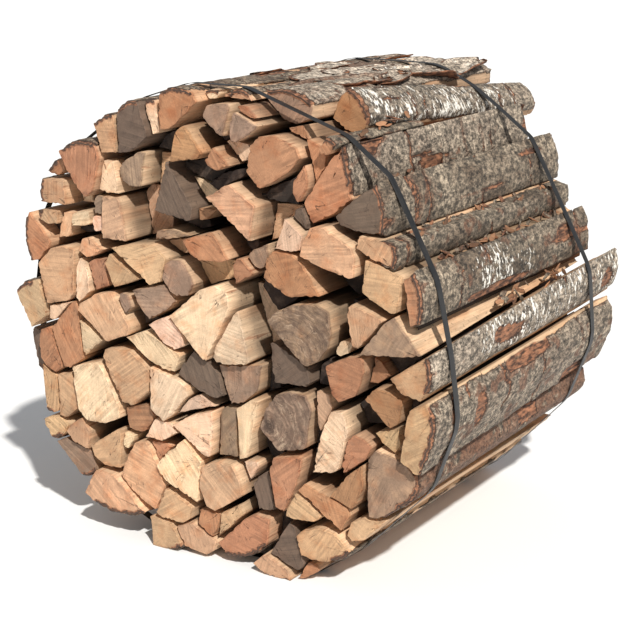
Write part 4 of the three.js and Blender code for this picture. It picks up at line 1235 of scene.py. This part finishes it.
def make_sawn_end():
    """A sawn end: growth rings round the heart, rays, saw marks, drying cracks and the bark's edge."""
    material, n, shader = new_material("sawn_end")
    position, shift, place = surface_places(n)
    drift = n.parts(shift)
    spot = n.parts(position)
    heart_x, heart_z, has_knot = n.parts(n.attribute("pith", "Vector"))
    x = n.minus(spot[0], heart_x)
    z = n.minus(spot[2], heart_z)
    angle = n.math("ARCTAN2", z, x)
    distance = n.math("SQRT", n.plus(n.times(x, x), n.times(z, z)))
    bent = n.plus(distance, n.waves(place, (25, 1, 25), RING_WOBBLE, 4, 0.6))

    # Growth rings, and a dark blotted knot where the log's heart shows
    rings = n.noise(n.point(n.times(bent, 170.0), drift[0], drift[1]), roughness=0.6)
    blot = n.noise(place, (38, 1, 38), 4, 0.7)
    swirl = n.times(has_knot, n.range(n.plus(rings, blot), 0.9, 1.15, 0.6, 0))
    knot = n.times(has_knot, n.range(n.plus(bent, n.times(blot, 0.03)), *KNOT_EDGE, 1, 0))
    colour = n.shaded(weathered(n, place), rings, 0.94, 1.06, (0.33, 0.67))
    colour = n.mix(swirl, colour, SWIRL_BROWN)
    colour = n.mix(n.times(knot, 0.8), colour, KNOT_BROWN)

    # Rays out from the heart, straight saw marks, and pale arcs across a knot
    rays = n.noise(n.point(n.times(angle, 26.0), n.times(distance, 14.0), drift[2]), roughness=0.6)
    colour = n.shaded(colour, rays, 0.88, 1.09)
    turned = n.add("ShaderNodeVectorRotate", {"rotation_type": "Y_AXIS"}, Vector=place, Angle=drift[1])
    saw = n.noise(turned.outputs[0], (6, 1, 165), 2)
    sawn = n.range(n.noise(place, (14, 1, 14), 2), 0.38, 0.56)
    marks = n.times(sawn, n.range(saw, 0.37, 0.63, -0.21, 0.15))
    colour = n.shaded(colour, marks, 0.0, 2.0, (-1, 1))
    arcs = n.noise(n.point(n.times(bent, 210.0), n.times(angle, 1.6), drift[2]), roughness=0.6)
    scratch = n.times(has_knot, n.range(arcs, 0.5, 0.68, 0, 0.7))
    colour = n.mix(n.times(scratch, n.range(blot, 0.42, 0.62)), colour, SCRATCH_PALE)

    # Drying cracks, pores, and darkening towards the end's edge
    crack = n.noise(n.point(n.times(angle, 5.0), n.times(distance, 9.0), drift[0]), roughness=0.5)
    where = n.range(n.noise(place, (24, 1, 24), 2), 0.52, 0.60)
    line = n.times(n.line(crack, 0.5, 0.010), where)
    colour = n.mix(n.times(line, 0.85), colour, CRACK_BROWN)
    pores = n.noise(place, (420, 5, 420), 2, 0.6)
    colour = n.shaded(colour, pores, 0.86, 1.10)
    edge = n.plus(n.attribute("rim"), n.waves(place, (30, 1, 30), 0.3, roughness=0.6, shift=(6, 2, 9)))
    colour = n.mix(n.range(edge, 0.9, 1.25, 0, 0.55), colour, n.tinted(colour, END_EDGE_TINT))
    colour = n.group(RIND, Color=colour, Depth=n.attribute("depth"), Place=place)["Color"]

    height = n.plus(n.times(saw, 0.6), n.times(pores, 0.25))
    height = n.minus(n.plus(height, n.times(rings, 0.25)), line)
    dress(n, shader, colour, n.range(pores, *NOISE_SPAN, 0.75, 0.92), height, 0.6, END_BUMPS)
    return material


def make_split_flank():
    """A split's flank: fibres, the layers under the bark at its edges, and the bark where it is whole."""
    material, n, shader = new_material("split_flank")
    place = surface_places(n)[-1]
    fibres = n.group(FIBRES, Color=weathered(n, place), Place=place)
    rind = n.group(RIND, Color=fibres["Color"], Depth=n.attribute("depth"), Place=place)
    carried = {label: n.attribute(label.lower()) for label in ("Lichen", "Rust", "Pale")}
    skin = n.group(BARK_SKIN, Place=place, **carried)
    whole = n.plus(n.attribute("bark"), n.waves(place, (90, 120, 90), 0.3))
    cover = n.range(whole, 0.42, 0.58)
    # Painted shadow: a dark line along every edge of the bark, where it steps down to the wood
    edge_shadow = n.range(n.math("ABSOLUTE", n.minus(whole, 0.46)), 0.06, 0.28, 0.85, 0)
    colour = n.mix(edge_shadow, n.mix(cover, rind["Color"], skin["Color"]), BARK_EDGE_SHADOW)
    height = n.mix(cover, fibres["Height"], n.plus(skin["Height"], 0.6))
    dress(n, shader, colour, n.range(fibres["Height"], 0.4, 1.0, 0.72, 0.9), height, 0.8, FLANK_BUMPS)
    return material


def make_strap_black():
    """Black plastic strapping: satin, with a pressed lattice, scuffs and dust."""
    material, n, shader = new_material("strap_black")
    position = n.add("ShaderNodeTexCoord").outputs["Object"]
    dust = n.noise(position, (35, 60, 35), 5, 0.65)
    scuff = n.noise(position, (9, 420, 9), roughness=0.6)
    colour = n.mix(n.range(dust, 0.45, 0.75, 0, 0.25), STRAP_COLOUR, DUST_COLOUR)
    colour = n.shaded(colour, scuff, 0.75, 1.3)
    pressed = n.noise(position, (260, 260, 260), 1, 0.4)
    dress(n, shader, colour, n.range(dust, *NOISE_SPAN, 0.34, 0.6), n.plus(pressed, scuff), 0.4, STRAP_BUMPS)
    return material


SAWN_END = make_sawn_end()
SPLIT_FLANK = make_split_flank()
STRAP_BLACK = make_strap_black()


# The splits

def tone_of(number, tones):
    return next(tone for tone, numbers in tones.items() if number in numbers)


def make_splits():
    """The large splits, one for each of their solids, and the smaller ones in place of the stack."""
    large = {}
    for number in range(1, RIM_COUNT + 1):
        name = f"rim_split_{number:02d}"
        large[name] = node_split(name, tone_of(number, RIM_TONES), number, False)
        if number in BARK_CORNERS:
            large[name].give_bark(number)
    for number in range(1, HEART_COUNT + 1):
        name = f"heart_split_{number:02d}"
        large[name] = node_split(name, tone_of(number, HEART_TONES), HEART_SEED + number, True)
        if number in KNOTS:
            large[name].knot = np.array(KNOTS[number]) * MM + BUNDLE_MIDDLE
    for name, split in large.items():
        steps = BARK_STEPS if split.chord is not None else WOOD_STEPS
        piece = mesh_piece("dressed_" + name, [split_surface(split, *steps)], [SPLIT_FLANK, SAWN_END])
        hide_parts(name)
    small = stack_splits([grown(split.outline, SEAM) for split in large.values()])
    for first in range(0, len(small), STACK_BATCH):
        surfaces = [split_surface(split, *STACK_STEPS) for split in small[first : first + STACK_BATCH]]
        number = first // STACK_BATCH + 1
        piece = mesh_piece(f"stack_splits_{number:02d}", surfaces, [SPLIT_FLANK, SAWN_END])
        if first == 0:
            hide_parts("inner_stack")


make_splits()


# The loose bark

def flake_surface(row, place, random, seed):
    """A flake as a flattened lens. The point at share s of its length and angle t is the length times
    s - 1/2 along, and half the width times cos t and half the thickness times sin t, both times the
    square root of 1 - (2s - 1)^2, across. It is then turned by random angles."""
    first_x, first_z, last_x, last_z, y_from, y_to, _ = row
    angle = np.linspace(0, 2 * math.pi, FLAKE_SIDES, endpoint=False)[None]
    share = np.linspace(0.02, 0.98, FLAKE_ROWS)[:, None]
    length, width, thickness = random.uniform(*FLAKE_SIZES) * MM
    round_off = np.sqrt(1 - (2 * share - 1) ** 2)
    torn = 1 + 0.7 * noise(spread(share * 5, np.cos(angle) * 2, place * 50), seed)
    along = (share - 0.5) * length * np.ones_like(angle)
    across = width / 2 * np.cos(angle) * round_off * torn
    up = thickness / 2 * np.sin(angle) * round_off + 0.1 * width * (2 * share - 1) ** 2
    turn, lean = random.uniform(-FLAKE_TURN, FLAKE_TURN)
    aside = random.uniform(0.1, 0.9)
    middle = np.array([first_x + aside * (last_x - first_x), first_z + aside * (last_z - first_z)])
    outside = middle / np.hypot(*middle)
    direction = np.array([outside[1], -outside[0]])
    ahead = along * math.cos(turn) - across * math.sin(turn)
    beside = along * math.sin(turn) + across * math.cos(turn)
    up = up + lean * beside
    middle = middle * MM + BUNDLE_MIDDLE + outside * random.uniform(*FLAKE_DEPTH)
    level_y = MIDDLE_PLANE + (y_from + place * (y_to - y_from)) * MM
    grid = spread(
        middle[0] + direction[0] * beside + outside[0] * up,
        level_y + ahead,
        middle[1] + direction[1] * beside + outside[1] * up,
    )
    shade = random.uniform(0.3, 1.1)
    return closed_surface(
        grid,
        bark=float(random.random() < 0.35),
        rust=random.uniform(0, 1),
        depth=INNER_BARK if random.random() < 0.25 else BARE,
        rim=0.0,
        lichen=0.3,
        pale=0.0,
        tone=(*linear(WOOD["warm"]) * shade, FLAKE_GREY),
        pith=(0, 0, 0),
        drift=random.uniform(-DRIFT, DRIFT, 3),
    )


def slab_surface(slab, seed):
    """A slab of bark: a flat section carried along its length. The section point at angle t is the
    width times cos t across and the thickness times sin t up. The slab lies on the top of the
    bundle, its edges curl up, its ends are ragged and the straps press it down."""
    x, y, width, length, turn, raised, curl, red = slab
    random = np.random.default_rng(seed)
    angle = np.linspace(0, 2 * math.pi, SLAB_SIDES, endpoint=False)
    share = np.linspace(0, 1, round(length * MM / SLAB_STEP))[:, None]
    side = np.cos(angle)[None]
    up = (np.sign(np.sin(angle)) * np.abs(np.sin(angle)) ** 0.4)[None]

    pointed = (1 - 0.8 * np.abs(2 * share - 1) ** 7) ** 0.5
    ragged = 1 + 0.32 * noise(spread(share * length / 40, np.sign(side) * 3, 0.5), seed)
    across = width / 2 * MM * side * pointed * ragged
    jag = noise(spread(side * 4, np.round(share) * 9, 0.5), seed + 1) * SLAB_JAG * np.abs(2 * share - 1) ** 5
    along = (share - 0.5) * length * MM + jag
    heading = math.radians(turn)
    place_x = BUNDLE_MIDDLE[0] + x * MM + across * math.cos(heading) - along * math.sin(heading)
    place_y = MIDDLE_PLANE + y * MM + along * math.cos(heading) + across * math.sin(heading)

    top = np.concatenate([np.reshape(BARK_CORNERS[number], (2, 2)) for number in TOP_SPLITS])
    top = top * MM + BUNDLE_MIDDLE
    buckle = noise(spread(share * length / 90, side * 1.5, 0.5), seed + 2) * SLAB_BUCKLE
    rise = SLAB_REST + raised * MM * share**2 + curl * MM * np.abs(side) ** 2.4 + buckle
    for strap in STRAPS:
        free = smooth(*PRESSED_BY_STRAP, np.abs(place_y - middle_y(node_points(strap))))
        rise = rise * free - UNDER_STRAP * (1 - free)
    level = np.interp(place_x, *top.T) + rise + up * SLAB_THICKNESS / 2

    flake = noise(spread(share * length / 30, side * 4, 0.5), seed + 3)
    cover = np.where(up > 0.3, smooth(0.97, 0.85, np.abs(side) + flake * 0.15), 0.0)
    return closed_surface(
        spread(place_x, place_y, level),
        bark=np.append(cover, [0, 0]),
        rust=np.append(np.maximum(smooth(0.7, 1.0, np.abs(side) + flake * 0.3), red), [1, 1]),
        depth=INNER_BARK,
        rim=0.0,
        lichen=0.75 - 0.6 * red,
        pale=1.0 - red,
        tone=(*linear(WOOD["warm"]), FLAKE_GREY),
        pith=(0, 0, 0),
        drift=random.uniform(-DRIFT, DRIFT, 3),
    )


def make_loose_bark():
    """The slabs on the top and the flakes between the splits, as one piece."""
    surfaces = [slab_surface(slab, SLAB_SEED + index) for index, slab in enumerate(SLABS)]
    for index, row in enumerate(FLAKES):
        seed = FLAKE_SEED + index
        random = np.random.default_rng(seed)
        places = random.uniform(0, 1, row[-1])
        surfaces += [flake_surface(row, place, random, seed) for place in places]
    loose_bark = mesh_piece("loose_bark", surfaces, [SPLIT_FLANK])


make_loose_bark()


# The straps

def strap_band(node):
    """A strap: the outline of its solid with slightly rounded bends, and a flat section with rounded
    edges carried along it. Each section point is the path point plus its share of the width and
    thickness along the two directions across the strap."""
    points = node_points(node)
    path = ring_of(grown(hull(points[:, [0, 2]]), -STRAP_THICKNESS / 2), STRAP_STEP, STRAP_SOFTNESS)
    turn = np.linspace(0, 2 * math.pi, STRAP_SIDES, endpoint=False)
    wide = np.sign(np.cos(turn)) * np.abs(np.cos(turn)) ** 0.35 * STRAP_WIDTH / 2
    thick = np.sign(np.sin(turn)) * np.abs(np.sin(turn)) ** 0.6 * STRAP_THICKNESS / 2
    rise = path[:, None] + outward(path)[:, None] * thick[None, :, None]
    grid = spread(rise[..., 0], middle_y(points) + wide, rise[..., 1])
    rows, count = grid.shape[:2]
    index = np.arange(rows * count).reshape(rows, count)
    after = np.roll(index, -1, axis=0)
    corners = [index, np.roll(index, -1, axis=1), np.roll(after, -1, axis=1), after]
    return surface(grid.reshape(-1, 3), np.stack(corners, -1).reshape(-1, 4), np.zeros((0, 3), int))


for strap in STRAPS:
    band = mesh_piece("dressed_" + strap, [strap_band(strap)], [STRAP_BLACK])
    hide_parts(strap)


# Floor, light and camera

def make_stage():
    """A wide pale floor."""
    corners = [(x * FLOOR_HALF, y * FLOOR_HALF, 0) for x, y in ((-1, -1), (1, -1), (1, 1), (-1, 1))]
    mesh = bpy.data.meshes.new("floor")
    mesh.from_pydata(corners, [], [(0, 1, 2, 3)])
    material, n, shader = new_material("floor_pale")
    n.put(shader["Base Color"], FLOOR_COLOUR)
    n.put(shader["Roughness"], FLOOR_ROUGHNESS)
    mesh.materials.append(material)
    floor = place_in_scene("floor", mesh)


def make_light():
    """A key light from the upper right in front, and an even pale sky."""
    data = bpy.data.lights.new("key", "SUN")
    data.energy = SUN_STRENGTH
    data.angle = math.radians(SUN_ANGLE)
    data.color = SUN_COLOUR
    key = place_in_scene("key", data)
    key.rotation_mode = "QUATERNION"
    key.rotation_quaternion = Vector(SUN_FROM).to_track_quat("Z", "Y")
    world = bpy.data.worlds.new("sky")
    world.use_nodes = True
    background = world.node_tree.nodes["Background"]
    background.inputs["Color"].default_value = (*SKY_COLOUR, 1)
    background.inputs["Strength"].default_value = SKY_STRENGTH
    bpy.context.scene.world = world


def make_camera():
    """The camera stands back from the bundle's middle by CAMERA_SHIFT along its own three directions."""
    level = math.cos(CAMERA_PITCH)
    ahead = Vector((math.sin(CAMERA_YAW) * level, math.cos(CAMERA_YAW) * level, -math.sin(CAMERA_PITCH)))
    right = Vector((math.cos(CAMERA_YAW), -math.sin(CAMERA_YAW), 0))
    up = right.cross(ahead)
    data = bpy.data.cameras.new("camera")
    data.sensor_width = SENSOR_WIDTH
    data.lens = FOCAL_PIXELS / PICTURE_WIDTH * SENSOR_WIDTH
    data.clip_end = CAMERA_REACH
    turned = Matrix((right, up, -ahead)).transposed().to_4x4()
    shift = right * CAMERA_SHIFT[0] + up * CAMERA_SHIFT[1] + ahead * CAMERA_SHIFT[2]
    middle_x, middle_z = BUNDLE_MIDDLE
    turned.translation = Vector((middle_x, MIDDLE_PLANE, middle_z)) - shift
    camera = place_in_scene("camera", data)
    camera.matrix_world = turned
    bpy.context.scene.camera = camera


make_stage()
make_light()
make_camera()
bpy.context.scene.view_settings.view_transform = "Standard"
